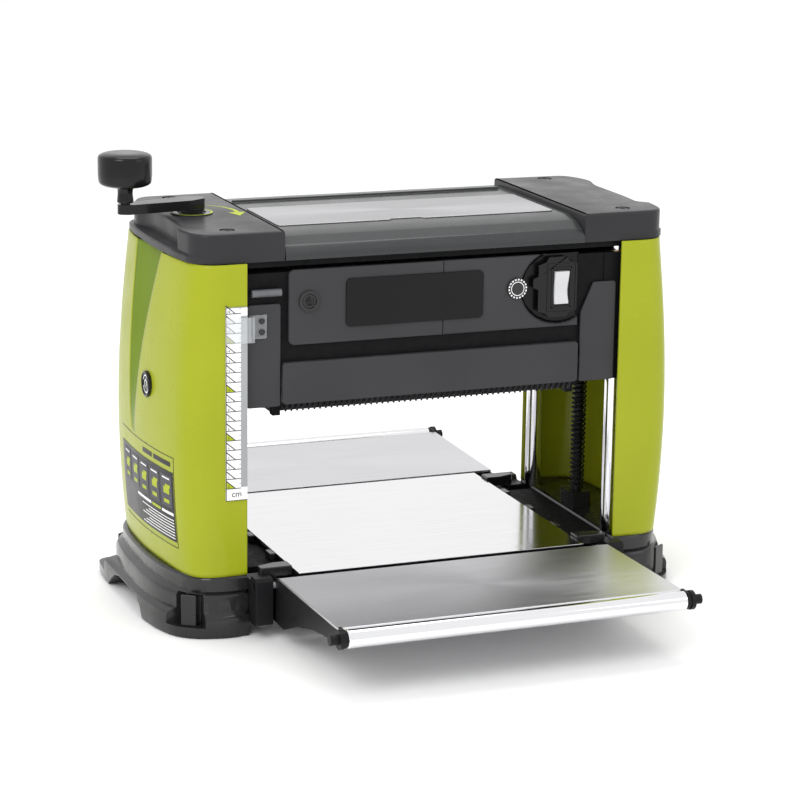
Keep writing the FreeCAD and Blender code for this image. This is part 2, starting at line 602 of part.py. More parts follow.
block_left = prism("block_left", "y", [
    (-204, 235), (-168.5, 235), (-168.5, 341), (-204, 341)], (-116, -113.2), [(3, (0, 1, 2, 3))])
block_right = prism("block_right", "y", [
    (163, 236), (203, 236), (203, 342), (177, 342), (163, 311)], (-116, -113.2),
    [(3, (0, 1, 2, 3))])
node("block_covers", join("blocks", block_left, block_right))
node("fascia_left", prism("fascia_l", "y", [
    (-160, "fascia_bottom"), (6.7, "fascia_bottom"), (6.7, "fascia_top"), (-160, "fascia_top")],
    ("-fascia_front", "-head_reach - 0.2"), [(6, (0, 3))]))
fascia_plate = prism("fascia_r", "y", [
    (7.3, "fascia_bottom"), (159, "fascia_bottom"), (159, "fascia_top"), (7.3, "fascia_top")],
    ("-fascia_front", "-head_reach - 0.2"), [(6, (1, 2))])
node("fascia_right", cut("fascia_r_cut", fascia_plate,
                         box("fascia_switch_gap", (116, 152), (-118, -111), (317, 363)),
                         rod("fascia_reset_gap", "y", 6.4, (-118, -111), 88.5, 341)))
node("badge_plate", prism("badge", "y", [
    (-99.5, 313), (50.7, 313), (50.7, 362.7), (-99.5, 362.7)],
    ("-fascia_front - 2", "-fascia_front"), [(5, (0, 1, 2, 3))]))
guard_plate = prism("guard", "y", [
    (-167, "guard_bottom"), (160, "guard_bottom"), (160, "guard_top"), (-167, "guard_top")],
    ("-fascia_front - 2", "-head_reach - 0.2"), [(4, (0, 1, 2, 3))])
node("lower_guard", guard_plate)
fascia_ring = ring("fascia_bolt_ring", "y", 11, 7.5, ("-fascia_front - 2", "-fascia_front"),
                   -138.8, 342)
fascia_head = cut("fascia_bolt_cut",
                  rod("fascia_bolt_head", "y", 7, ("-fascia_front - 1", "-fascia_front"), -138.8,
                      342),
                  box("fascia_bolt_slot", (-143, -134.6), (-119, "-fascia_front - 0.4"),
                      (341.2, 342.8)))
tie_rod = rod("tie_rod_bar", "x", 4, (-200, -169), -117.5, 353)

rear_plate = box("rear_plate", (-160, 160), ("head_reach + 0.2", 117), (240, 366))
rear_hole = rod("rear_hole", "y", "port_radius + 4", (100, 120), "port_x", "port_height")
gland_hole = rod("gland_hole", "y", 7, (100, 120), -125, 330)
rear_sheet = cut("rear_cut", rear_plate, rear_hole, gland_hole)
cord_gland = ring("gland_whole", "y", 7, 4, ("head_reach", 124), -125, 330)
node("rear_panel", join("rear_whole", rear_sheet, cord_gland))
node("dust_port", ring("port_whole", "y", "port_radius + 4", "port_radius", (89, 124), "port_x",
                       "port_height"))

# ---------------------------------------------------------------- motor and cutterhead

motor_can = rod("motor_can", "x", "motor_radius", (-60, 100), "motor_y", "motor_height")
motor_inner = rod("motor_inner", "x", 34, (-56, 96), "motor_y", "motor_height")
motor_shaft_hole = rod("motor_shaft_hole", "x", "7 + run_gap", (-61, 101), "motor_y",
                       "motor_height")
motor_mount = box("motor_mount", (-50, 90), (-10, 50), (355, 366))
node("motor_housing", cut("motor_cut", join("motor_solid", motor_can, motor_mount), motor_inner,
                          motor_shaft_hole))
node("motor_rotor", join("rotor_whole", *[
    rod(f"rotor{n}", "x", radius, ends, "motor_y", "motor_height")
    for n, (radius, ends) in enumerate(((7, (-188, 104)), (30, (-44, 84)), (20, (-187, -175))))]))

drum = rod("drum_solid", "x", "drum_radius", ("-table_half", "table_half"), 0, "cutter_height")
journals = rod("drum_journals", "x", "journal_radius", (-188, 178), 0, "cutter_height")
drum_pulley = rod("drum_pulley", "x", 12, (-187, -175), 0, "cutter_height")
KNIFE_TURNS = (0, 120, 240)


def around_cutter(name, thing, turn):
    """A copy of a piece drawn on top of the drum, turned about the cutterhead's axis."""
    copy = doc.addObject("Part::Compound", name)
    copy.Links = [thing]
    centre = FreeCAD.Vector(0, 0, value("cutter_height"))
    rotation = FreeCAD.Rotation(FreeCAD.Vector(1, 0, 0), turn)
    copy.Placement = FreeCAD.Placement(FreeCAD.Vector(), rotation, centre)
    return copy


knife = box("knife", (-158.5, 158.5), (-1.4, 1.4), ("cutter_height + 8", "cutter_height + 23.9"))
clamp = box("clamp", (-158, 158), (1.5, 7.5), ("cutter_height + 8", "cutter_height + 20.6"))
gash = box("gash", ("-table_half - 1", "table_half + 1"), (-1.5, 7.6),
           ("cutter_height + 8", "cutter_height + 30"))
node("cutter_drum", cut("drum_cut", join("drum_whole", drum, journals, drum_pulley), *[
    around_cutter(f"gash{t}", gash, t) for t in KNIFE_TURNS]))
node("cutter_knives", join("knives", *[
    around_cutter(f"{piece.Name}{t}", piece, t) for piece in (knife, clamp) for t in KNIFE_TURNS]))
node("cutter_bearings", pair("cutter_bearing", lambda n: ring(
    n, "x", 20, "journal_radius + run_gap", ("-wall_outer", "-wall_inner"), 0, "cutter_height")))


def belt():
    """A flat belt round the motor's pulley and the cutterhead's, with a small clearance."""
    rise = value("motor_height") - value("cutter_height")
    lean = value("motor_y")
    reach = math.hypot(rise, lean)
    turn = math.degrees(math.atan2(lean, rise))
    wheels = []
    for name, big, small, ends in (("belt_out", 22.4, 14.4, (-185, -177)),
                                   ("belt_in", 20.4, 12.4, (-186, -176))):
        lean_in = math.asin((big - small) / reach)
        flat = [(small * math.cos(lean_in) * side, -small * math.sin(lean_in))
                for side in (-1, 1)]
        crest = [(big * math.cos(lean_in) * side, reach - big * math.sin(lean_in))
                 for side in (1, -1)]
        web = Part.makePolygon([FreeCAD.Vector(ends[0], y, z) for y, z in flat + crest + flat[:1]])
        web = Part.Face(web).extrude(FreeCAD.Vector(ends[1] - ends[0], 0, 0))
        along = FreeCAD.Vector(1, 0, 0)
        low = Part.makeCylinder(small, ends[1] - ends[0], FreeCAD.Vector(ends[0], 0, 0), along)
        high = Part.makeCylinder(big, ends[1] - ends[0], FreeCAD.Vector(ends[0], 0, reach), along)
        wheels.append(web.multiFuse([low, high]))
    band = doc.addObject("Part::Feature", "belt")
    band.Shape = wheels[0].cut(wheels[1])
    band.Placement = FreeCAD.Placement(FreeCAD.Vector(0, 0, value("cutter_height")),
                                       FreeCAD.Rotation(FreeCAD.Vector(1, 0, 0), -turn))
    return band


node("drive_belt", belt())

# ---------------------------------------------------------------- feed rollers


def feed_roller(name, y):
    barrel = rod(name + "_barrel", "x", "feed_radius", ("-table_half", "table_half"), y,
                 "feed_height")
    shaft = rod(name + "_shaft", "x", "feed_journal", (-169, 180), y, "feed_height")
    drive = rod(name + "_sprocket", "x", 15, (172, 178), y, "feed_height")
    return join(name, barrel, shaft, drive)


for side, y in (("infeed", "-feed_y"), ("outfeed", "feed_y")):
    node(f"{side}_feed_roller", feed_roller(side + "_feed", y))


def roller_block(name, y):
    block = box(name + "_block", ("-wall_outer", "-wall_inner"), (f"{y} - 11.8", f"{y} + 11.8"),
                (221, 262))
    bore = rod(name + "_bore", "x", "feed_journal + run_gap", (-169, -159), y, "feed_height")
    return cut(name, block, bore)


def roller_spring(name, y):
    return ring(name, "z", 3.6, 2.4, (262.1, 283.9), -164, y)


node("roller_bearings", pair("roller_bearing", lambda n: join(n, *[
    make(f"{n}_{kind}{i}", y) for kind, make in (("block", roller_block), ("coil", roller_spring))
    for i, y in enumerate(("-feed_y", "feed_y"))])))

# ---------------------------------------------------------------- kickback pawls


def kickback_pawls():
    """A comb of pawls on one rod.  Each slot parts two neighbours below their hub."""
    comb = prism("pawl_comb", "x", [
        (-110.5, 254), (-110.5, 262), (-107, 265), (-101, 265), (-97.5, 262), (-97.5, 246),
        (-98, 225.5), (-103, 231), (-110.5, 250)],
        ("-(26 * pawl_pitch) + 2", "26 * pawl_pitch - 2"), [(2.5, (0, 1, 2, 3, 4))])
    slot_sketch = comb.newObject("Sketcher::SketchObject", "pawl_slot_outline")
    slot_sketch.AttachmentSupport = [(plane(comb, "YZ_Plane"), "")]
    slot_sketch.MapMode = "FlatFace"
    slot_sketch.setExpression("AttachmentOffset.Base.z", formula("-(25 * pawl_pitch) - 0.7"))
    outline(slot_sketch, [(-125, 200), (-80, 200), (-80, 251), (-125, 251)])
    slot = comb.newObject("PartDesign::Pocket", "pawl_slot")
    slot.Profile = slot_sketch
    slot.Length = 1.4
    slot.Reversed = True
    doc.recompute()
    row = comb.newObject("PartDesign::LinearPattern", "pawl_slots")
    row.Originals = [slot]
    row.Direction = (slot_sketch, ["N_Axis"])
    bind(row, Length=f"{PAWL_COUNT - 2} * pawl_pitch")
    row.Occurrences = PAWL_COUNT - 1
    comb.Tip = row
    return cut("pawls", comb, rod("pawl_bore", "x", "4 + run_gap", (-165, 165), "-pawl_y",
                                  "pawl_height"))


node("kickback_pawls", kickback_pawls())
pawl_rod = rod("pawl_bar", "x", 4, ("-wall_outer", "wall_outer"), "-pawl_y", "pawl_height")
node("cross_rods", join("rods", pawl_rod, tie_rod))

# ---------------------------------------------------------------- controls and pointer

switch_plate = prism("switch_plate", "y", [
    (106, 340), (106, 350), (112, 352), (112, 364), (121, 367), (124, 372), (144, 372),
    (147, 367), (156, 364), (156, 315), (147, 312), (144, 308), (124, 308), (121, 312),
    (112, 315), (112, 338)], ("-fascia_front - 3", "-fascia_front"), [(2, (0, 1, 5, 6, 12, 13))])
switch_box = box("switch_box", (116.2, 151.8), (-117, -98), (317.2, 362.8))
switch_well = box("switch_well", (129.6, 146.4), (-121, -106), (321.6, 357.4))
node("switch_housing", cut("switch_whole", join("switch_solid", switch_plate, switch_box),
                           switch_well))
node("switch_rocker", prism("rocker", "x", [
    (-121.6, 322.2), (-121.2, 340), (-123.4, 356.8), (-113, 355.6), (-109.5, 340),
    (-113, 323.4)], (130, 146), [(1.2, (0, 2))]))
reset_ring = ring("reset_collar", "y", 11, 6.4, ("-fascia_front - 2.2", "-fascia_front"), 88.5,
                  341)
node("reset_button", rod("reset_cap", "y", 6, ("-fascia_front - 4", -104), 88.5, 341))

pointer_window = box("pointer_window", (-229, -199), (-126.2, -124.4), (305, 331))
pointer_step = box("pointer_step", (-202, -199), (-124.4, -116), (305, 331))
pointer_foot = box("pointer_foot", (-199, -184), (-118.2, -116), (307, 331))
node("depth_pointer", join("pointer_whole", pointer_window, pointer_step, pointer_foot))
pointer_screws = [rod(f"pointer_head{z}", "y", 3, (-120, -118.2), -189.5, z) for z in (314, 325)]
node("fascia_fittings", join("fittings", fascia_ring, fascia_head, reset_ring, *pointer_screws))

# ---------------------------------------------------------------- folding tables


def leaf(side, turn_round):
    """One folding table with its roller.  The outfeed one is the infeed one's mirror image."""
    sheet_line = [
        ("-leaf_near", "leaf_near_top"), ("-leaf_far", "leaf_far_top"), ("-leaf_far", 60),
        ("-leaf_far + leaf_gauge", 60), ("-leaf_far + leaf_gauge", "leaf_far_top - leaf_gauge"),
        ("-leaf_near", "leaf_near_top - leaf_gauge")]
    plate = prism(side + "_sheet", "x", sheet_line, ("-leaf_half", "leaf_half"), [(1.8, (1,))])
    arm_line = [
        (-110, 18), (-171, 17), (-212, 33), (-259, 45), (-295, 50), (-332, 52.5), (-346, 54),
        (-352, 62.5), (-346, 71), ("-leaf_far - 0.3", 71), ("-leaf_far - 0.3", 59.7),
        ("-leaf_far + leaf_gauge + 0.3", 59.7), ("-leaf_far + leaf_gauge + 0.3", 66.4),
        ("-leaf_near", 63.9), (-149, 63.9), (-137, 62), (-130, 57), (-104, 57), (-104, 24)]
    arm = prism(side + "_arm", "x", arm_line, ("-leaf_half", "-leaf_half + arm_gauge"),
                [(20, (2,)), (4, (6, 7, 8)), (3, (0, 18))])
    pivot_hole = rod(side + "_pivot_hole", "x", "pivot_radius + run_gap", (-190, -170),
                     "-pivot_reach", "pivot_height")
    axle_hole = rod(side + "_axle_hole", "x", "axle_radius + run_gap", (-190, -170),
                    "-roller_reach", "roller_height")
    left = cut(side + "_arm_left", arm, pivot_hole, axle_hole)
    rail = box(side + "_rail", ("-leaf_half + arm_gauge", "leaf_half - arm_gauge"), (-163, -157),
               (56, 64))
    arms = join(side + "_arm_pair", left, mirrored(side + "_arm_right", left), rail)
    tube = rod(side + "_roll", "x", "roller_radius", (-179.5, 179.5), "-roller_reach",
               "roller_height")
    axle = rod(side + "_axle", "x", "axle_radius", (-190, 190), "-roller_reach", "roller_height")
    roller = join(side + "_roller", tube, axle)
    cap = cut(side + "_cap", join(side + "_cap_solid",
                                  rod(side + "_cap_disc", "x", 9.8, (-188, -183.7),
                                      "-roller_reach", "roller_height"),
                                  rod(side + "_cap_tip", "x", 5, (-197, -188),
                                      "-roller_reach", "roller_height")),
              rod(side + "_cap_bore", "x", "axle_radius", (-190, -180), "-roller_reach",
                  "roller_height"))
    side_frame = join(side + "_frame", arms, cap, mirrored(side + "_cap_right", cap))
    parts = {"plate": plate, "arms": side_frame, "end_roller": roller}
    for name, thing in parts.items():
        final = mirrored(f"{side}_{name}_turned", thing, (0, 1, 0)) if turn_round else thing
        node(f"{side}_{name}", final)


leaf("infeed", False)
leaf("outfeed", True)

# ---------------------------------------------------------------- check and write

doc.recompute()
faults = [thing.Label for thing in doc.Objects
          if any(word in ("Invalid", "Error") for word in thing.State)]
faults += [thing.Label for thing in nodes if thing.Shape.isNull() or not thing.Shape.isValid()]
assert not faults, faults
os.makedirs("parts", exist_ok=True)
for old in os.listdir("parts"):
    if old.endswith(".step"):
        os.remove(os.path.join("parts", old))
for thing in nodes:
    thing.Shape.exportStep(f"parts/{thing.Label}.step")
print(len(nodes), "sub-parts written")
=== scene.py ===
import json
import math

import bmesh
import bpy
from mathutils import Matrix, Vector

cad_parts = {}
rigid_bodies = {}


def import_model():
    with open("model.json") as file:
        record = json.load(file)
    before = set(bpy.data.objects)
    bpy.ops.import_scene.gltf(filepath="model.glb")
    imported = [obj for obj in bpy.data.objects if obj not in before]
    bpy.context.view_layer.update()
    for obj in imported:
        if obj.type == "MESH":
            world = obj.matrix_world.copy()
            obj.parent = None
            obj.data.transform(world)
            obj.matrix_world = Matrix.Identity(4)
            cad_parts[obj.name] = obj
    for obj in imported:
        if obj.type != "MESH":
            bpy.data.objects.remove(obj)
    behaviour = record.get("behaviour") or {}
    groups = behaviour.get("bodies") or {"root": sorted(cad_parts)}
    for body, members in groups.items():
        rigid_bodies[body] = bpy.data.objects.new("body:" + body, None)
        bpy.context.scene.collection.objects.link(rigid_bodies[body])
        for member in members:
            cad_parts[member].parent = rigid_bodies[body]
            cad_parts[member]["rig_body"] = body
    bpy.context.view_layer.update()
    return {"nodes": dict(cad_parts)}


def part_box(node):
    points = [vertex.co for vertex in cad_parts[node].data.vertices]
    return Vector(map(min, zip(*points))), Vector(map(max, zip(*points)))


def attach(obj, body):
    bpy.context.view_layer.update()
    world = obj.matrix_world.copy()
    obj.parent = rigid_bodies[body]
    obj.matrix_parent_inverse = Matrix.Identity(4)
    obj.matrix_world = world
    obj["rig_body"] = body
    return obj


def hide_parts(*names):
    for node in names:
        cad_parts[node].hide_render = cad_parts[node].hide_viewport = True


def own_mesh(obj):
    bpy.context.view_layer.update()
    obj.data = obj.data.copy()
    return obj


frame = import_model()
nodes = frame["nodes"]
MM = 0.001


# ---------------------------------------------------------------- materials

def rgb(red, green, blue):
    """A colour given as it looks on a screen, 0 to 255, in linear light."""
    def linear(channel):
        part = channel / 255
        return part / 12.92 if part <= 0.04045 else ((part + 0.055) / 1.055) ** 2.4
    return (linear(red), linear(green), linear(blue), 1)


class Finish:
    """A material that is built up from the shader outwards."""

    def __init__(self, name, colour, roughness, metallic=0.0, **sockets):
        self.mat = bpy.data.materials.new(name)
        self.mat.use_nodes = True
        self.mat.diffuse_color = colour
        self.tree = self.mat.node_tree
        self.shader = self.tree.nodes["Principled BSDF"]
        self.shader.inputs["Base Color"].default_value = colour
        self.shader.inputs["Roughness"].default_value = roughness
        self.shader.inputs["Metallic"].default_value = metallic
        for socket, amount in sockets.items():
            self.shader.inputs[socket.replace("_", " ")].default_value = amount
        self.height = None

    def add(self, kind, **settings):
        made = self.tree.nodes.new(kind)
        for name, amount in settings.items():
            if name in made.inputs:
                made.inputs[name].default_value = amount
            else:
                setattr(made, name, amount)
        return made

    def noise(self, scale, detail=4.0, stretch=(1, 1, 1)):
        coords = self.add("ShaderNodeTexCoord")
        mapping = self.add("ShaderNodeMapping", Scale=stretch)
        texture = self.add("ShaderNodeTexNoise", Scale=scale, Detail=detail)
        self.tree.links.new(coords.outputs["Object"], mapping.inputs["Vector"])
        self.tree.links.new(mapping.outputs["Vector"], texture.inputs["Vector"])
        return texture.outputs["Fac"]

    def spread(self, fac, low, high):
        mapped = self.add("ShaderNodeMapRange")
        mapped.inputs["From Min"].default_value = 0.3
        mapped.inputs["From Max"].default_value = 0.7
        mapped.inputs["To Min"].default_value = low
        mapped.inputs["To Max"].default_value = high
        self.tree.links.new(fac, mapped.inputs["Value"])
        return mapped.outputs["Result"]

    def vary_roughness(self, fac, low, high):
        self.tree.links.new(self.spread(fac, low, high), self.shader.inputs["Roughness"])
        return self

    def vary_colour(self, fac, dark, light):
        ramp = self.add("ShaderNodeValToRGB")
        ramp.color_ramp.elements[0].position = 0.3
        ramp.color_ramp.elements[0].color = dark
        ramp.color_ramp.elements[1].position = 0.7
        ramp.color_ramp.elements[1].color = light
        self.tree.links.new(fac, ramp.inputs["Fac"])
        self.tree.links.new(ramp.outputs["Color"], self.shader.inputs["Base Color"])
        return self

    def bump(self, fac, strength, distance):
        node = self.add("ShaderNodeBump", Strength=strength, Distance=distance)
        self.tree.links.new(fac, node.inputs["Height"])
        if self.height is not None:
            self.tree.links.new(self.height, node.inputs["Normal"])
        self.height = node.outputs["Normal"]
        self.tree.links.new(self.height, self.shader.inputs["Normal"])
        return self


def moulded(name, colour, light, roughness, grain=0.08, coat=0.0):
    """Moulded plastic: spark-eroded grain, faint flow marks and a little uneven gloss."""
    finish = Finish(name, colour, roughness, Coat_Weight=coat, Coat_Roughness=0.12,
                    Specular_IOR_Level=0.16)
    finish.vary_colour(finish.noise(9), colour, light)
    finish.vary_roughness(finish.noise(30), roughness - 0.05, roughness + 0.07)
    finish.bump(finish.noise(2600, 2), grain, 0.0002)
    finish.bump(finish.noise(14, 2), 0.03, 0.002)
    return finish.mat


def brushed(name, colour, light, roughness, stretch, strength=0.05):
    """Sheet metal with fine lines along one axis, handling marks and soft blotches."""
    finish = Finish(name, colour, roughness, 1.0, Anisotropic=0.5)
    lines = finish.noise(900, 3, stretch)
    finish.vary_colour(finish.noise(700, 3, stretch), colour, light)
    finish.vary_roughness(lines, roughness - 0.05, roughness + 0.08)
    finish.bump(lines, strength, 0.0001)
    finish.bump(finish.noise(6, 2), 0.02, 0.003)
    return finish.mat


def cast(name, colour, light, roughness, metallic):
    """A die casting: pebbled skin and cloudy colour."""
    finish = Finish(name, colour, roughness, metallic, Specular_IOR_Level=0.12)
    finish.vary_colour(finish.noise(45), colour, light)
    finish.vary_roughness(finish.noise(160), roughness - 0.08, roughness + 0.1)
    finish.bump(finish.noise(900, 5), 0.25, 0.0004)
    return finish.mat


def polished(name, colour, roughness):
    """Ground and plated steel, with faint rings from the grinding wheel."""
    finish = Finish(name, colour, roughness, 1.0)
    rings = finish.noise(1, 2, (60, 60, 2400))
    finish.vary_roughness(rings, roughness, roughness + 0.06)
    finish.bump(rings, 0.02, 0.0001)
    return finish.mat


def clear(name, tint):
    """A clear moulded window with a faint ripple."""
    finish = Finish(name, tint, 0.04, 0.0, IOR=1.46, Alpha=0.2, Specular_IOR_Level=0.5)
    finish.vary_roughness(finish.noise(80), 0.03, 0.1)
    finish.bump(finish.noise(60, 2), 0.05, 0.0006)
    return finish.mat


LIME = moulded("lime_plastic", rgb(150, 158, 26), rgb(156, 164, 30), 0.3, 0.05, 0.12)
# The scoop's darker lime is painted shade: the hollow of the hand grip is the same lime plastic,
# darkened to stand for its shade.
LIME_PAINTED_SHADE = moulded("lime_in_shade", rgb(104, 126, 34), rgb(114, 136, 38), 0.34, 0.05, 0.12)
LIME_PRINT = moulded("lime_print", rgb(162, 174, 34), rgb(168, 180, 40), 0.4, 0.02)
GREY = moulded("grey_plastic", rgb(54, 54, 56), rgb(60, 60, 62), 0.4, 0.12)
CAP_GREY = moulded("cap_plastic", rgb(44, 44, 46), rgb(49, 49, 51), 0.32, 0.10, 0.05)
BLACK = moulded("black_plastic", rgb(30, 30, 31), rgb(37, 37, 38), 0.26, 0.08, 0.5)
GLOSS = moulded("gloss_black", rgb(14, 14, 15), rgb(18, 18, 19), 0.2, 0.02, 0.25)
BADGE = moulded("badge_black", rgb(10, 10, 12), rgb(14, 14, 16), 0.28, 0.02, 0.1)
INK = moulded("white_print", rgb(232, 232, 232), rgb(240, 240, 240), 0.45, 0.02)
STRIP_GREY = moulded("strip_grey", rgb(150, 152, 154), rgb(162, 164, 166), 0.45, 0.02)
INK_DARK = moulded("dark_print", rgb(40, 42, 44), rgb(48, 50, 52), 0.45, 0.02)
ROCKER = moulded("switch_grey", rgb(196, 196, 198), rgb(208, 208, 210), 0.28, 0.03, 0.3)
RUBBER = moulded("rubber", rgb(26, 26, 26), rgb(36, 36, 36), 0.75, 0.3)
PAINT = moulded("dark_paint", rgb(46, 47, 48), rgb(52, 53, 54), 0.26, 0.06, 0.35)
POWDER = moulded("black_paint", rgb(20, 20, 22), rgb(26, 26, 28), 0.4, 0.2)
MIRROR_STEEL = brushed("stainless", (0.80, 0.80, 0.81, 1), (0.86, 0.86, 0.87, 1), 0.13,
                       (0.02, 1, 1), 0.02)
STEEL = brushed("brushed_steel", (0.63, 0.63, 0.65, 1), (0.67, 0.67, 0.69, 1), 0.38,
                (0.02, 1, 1), 0.05)
TRAY = brushed("tray_steel", (0.42, 0.42, 0.43, 1), (0.48, 0.48, 0.49, 1), 0.42, (0.02, 1, 1))
OILED = cast("oiled_steel", rgb(40, 40, 42), rgb(52, 52, 54), 0.4, 0.6)
CASTING = cast("casting", rgb(96, 97, 100), rgb(118, 119, 122), 0.5, 0.7)
DARK_CASTING = cast("dark_casting", rgb(12, 12, 14), rgb(18, 18, 20), 0.6, 0.0)
BRONZE = cast("bronze", rgb(150, 112, 60), rgb(170, 130, 74), 0.4, 1.0)
CHROME = polished("chrome", (0.82, 0.82, 0.84, 1), 0.07)
CLEAR = clear("clear_plastic", (0.82, 0.85, 0.88, 1))

NODE_FINISH = {
    LIME: ["side_shell_left", "side_shell_right"],
    LIME_PAINTED_SHADE: ["grip_inserts"],
    GREY: ["fascia_left", "fascia_right", "block_covers", "lower_guard", "rear_panel"],
    CAP_GREY: ["top_cap_left", "top_cap_right"],
    BLACK: ["base_left", "base_right", "table_guides", "shell_plugs", "dust_port",
            "fascia_fittings", "reset_button", "crank_ring", "screw_bearings"],
    GLOSS: ["crank_arm", "crank_knob", "switch_housing"],
    BADGE: ["badge_plate"],
    PAINT: ["top_cover"],
    POWDER: ["infeed_arms", "outfeed_arms", "hinge_cheeks"],
    DARK_CASTING: ["table_frame", "head_casting", "column_slides", "crown_frame"],
    CASTING: ["motor_housing", "cutter_drum", "cross_rods"],
    MIRROR_STEEL: ["main_table"],
    STEEL: ["infeed_plate", "outfeed_plate", "hinge_pins", "cutter_knives"],
    CHROME: ["guide_columns", "infeed_end_roller", "outfeed_end_roller"],
    OILED: ["lead_screw_left", "lead_screw_right", "cap_screws", "kickback_pawls", "drive_chain",
            "motor_rotor", "roller_bearings", "cutter_bearings", "screw_springs"],
    TRAY: ["top_tray"],
    BRONZE: ["slide_bushes"],
    RUBBER: ["rubber_feet", "drive_belt", "infeed_feed_roller", "outfeed_feed_roller"],
    ROCKER: ["switch_rocker"],
    INK: ["scale_strip"],
    CLEAR: ["depth_pointer"],
}
FINISH_OF = {name: mat for mat, names in NODE_FINISH.items() for name in names}


for name, thing in nodes.items():
    thing.data.materials.clear()
    thing.data.materials.append(FINISH_OF[name])


# ---------------------------------------------------------------- mesh helpers

def piece(name, mesh, mat, body):
    """An object on a CAD body, with one material."""
    thing = bpy.data.objects.new(name, mesh)
    bpy.context.scene.collection.objects.link(thing)
    thing.data.materials.clear()
    thing.data.materials.append(mat)
    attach(thing, body)
    return thing


def grown(name, build, mat, body):
    """A piece whose mesh a function fills in."""
    shape = bmesh.new()
    build(shape)
    bmesh.ops.recalc_face_normals(shape, faces=shape.faces)
    mesh = bpy.data.meshes.new(name)
    shape.to_mesh(mesh)
    shape.free()
    return piece(name, mesh, mat, body)


def smooth(thing, degrees=35):
    """Smooth shading that stops at edges sharper than the angle."""
    for polygon in thing.data.polygons:
        polygon.use_smooth = True
    bm = bmesh.new()
    bm.from_mesh(thing.data)
    for edge in bm.edges:
        if len(edge.link_faces) == 2 and edge.calc_face_angle() > math.radians(degrees):
            edge.smooth = False
    bm.to_mesh(thing.data)
    bm.free()


def bevelled(thing, width, degrees=35):
    """Rounds the edges that are sharper than the angle."""
    bevel = thing.modifiers.new("edge", "BEVEL")
    bevel.width = width
    bevel.segments = 3
    bevel.limit_method = "ANGLE"
    bevel.angle_limit = math.radians(degrees)
    bevel.harden_normals = True


def softened(name, width):
    """A CAD node again, as moulded or pressed: its edges rounded."""
    source = nodes[name]
    bm = bmesh.new()
    bm.from_mesh(source.data)
    bmesh.ops.remove_doubles(bm, verts=bm.verts, dist=1e-6)
    bmesh.ops.dissolve_limit(bm, angle_limit=math.radians(0.5), verts=bm.verts, edges=bm.edges)
    mesh = bpy.data.meshes.new(name + "_soft")
    bm.to_mesh(mesh)
    bm.free()
    thing = piece(name + "_soft", mesh, FINISH_OF[name], source["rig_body"])
    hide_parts(name)
    smooth(thing, 30)
    bevelled(thing, width, 30)


SOFTENED = {
    1.4: ["top_cover"],
    1.0: ["fascia_left", "lower_guard", "block_covers", "hinge_cheeks", "table_guides",
          "crank_arm", "rear_panel"],
    0.6: ["badge_plate", "infeed_arms", "outfeed_arms", "fascia_fittings", "switch_housing",
          "top_tray", "cap_screws"],
    0.4: ["depth_pointer", "main_table", "infeed_plate", "outfeed_plate"],
}
for width, names in SOFTENED.items():
    for name in names:
        softened(name, width * MM)


# ---------------------------------------------------------------- side shells

FLOOR_OF_SHELL, TOP_OF_SHELL = 63.0, 384.6
SHELL_PLAN = [(-205.7, -122), (-219, -122.4), (-232, -122.6), (-246, -120.6), (-257, -114),
              (-264, -102), (-269, -82), (-273, -56), (-276.5, -20), (-277.5, 16), (-276, 58),
              (-272.5, 88), (-267, 106), (-256, 117), (-242, 120.5), (-205.7, 121)]
SCOOP_FOOT, SCOOP_DEPTH, SCOOP_FADE = 186.0, 17, 150
SHELL_ROWS = 84
SHELL_GAUGE = 2.6
COLUMNS = {"front": 64, "scoop": 18, "rear": 48}


def curve_through(points, count):
    """Even steps along a smooth curve through the points (Catmull-Rom)."""
    padded = [points[0], *points, points[-1]]
    path = []
    for i in range(len(points) - 1):
        a, b, c, d = (Vector(p) for p in padded[i:i + 4])
        for step in range(count):
            t = step / count
            path.append(0.5 * (2 * b + (c - a) * t + (2 * a - 5 * b + 4 * c - d) * t * t
                               + (3 * b - a - 3 * c + d) * t ** 3))
    return path + [Vector(points[-1])]


PLAN_PATH = curve_through(SHELL_PLAN, 24)


def ease(low, high, amount):
    """0 below the low end, 1 above the high end, and a smooth step between."""
    t = min(max((amount - low) / (high - low), 0), 1)
    return t * t * (3 - 2 * t)


def shell_point(along, height, proud=0.0):
    """A point on the left shell: along the plan from 0 at the front to 1 at the rear."""
    place = along * (len(PLAN_PATH) - 1)
    start = min(int(place), len(PLAN_PATH) - 2)
    flat = PLAN_PATH[start].lerp(PLAN_PATH[start + 1], place - start)
    across = (PLAN_PATH[start + 1] - PLAN_PATH[start]).normalized()
    rise = (height - FLOOR_OF_SHELL) / (TOP_OF_SHELL - FLOOR_OF_SHELL)
    swell = 8.5 * math.sin(math.pi * min(rise, 1) ** 0.9) - 5.5 * rise ** 2.4
    outward = ease(206, 262, abs(flat.x))
    x = flat.x - swell * outward - across.y * proud
    y = flat.y - across.x * proud
    return Vector((x, y, height)) * MM


def along_at(y):
    """Where on the plan the outer side passes a place from front to rear."""
    low, high = 0.35, 0.9
    for _ in range(30):
        middle = (low + high) / 2
        if shell_point(middle, 200).y < y * MM:
            low = middle
        else:
            high = middle
    return low


def scoop_edges(height):
    """Front and rear edge of the scooped hand grip at a height."""
    climb = max((height - SCOOP_FOOT) / (TOP_OF_SHELL - SCOOP_FOOT), 0)
    return 13 - 51 * climb ** 1.3, 13 + 26 * climb ** 0.38


def sheet_of(shape, grid, skip=0.0):
    """Fills a grid of points with faces, leaving out those that have no width."""
    rows = [[shape.verts.new(point) for point in row] for row in grid]
    for lower, upper in zip(rows, rows[1:]):
        for i in range(len(lower) - 1):
            corners = (lower[i], lower[i + 1], upper[i + 1], upper[i])
            if max((corners[0].co - corners[1].co).length,
                   (corners[3].co - corners[2].co).length) > skip:
                shape.faces.new(corners)


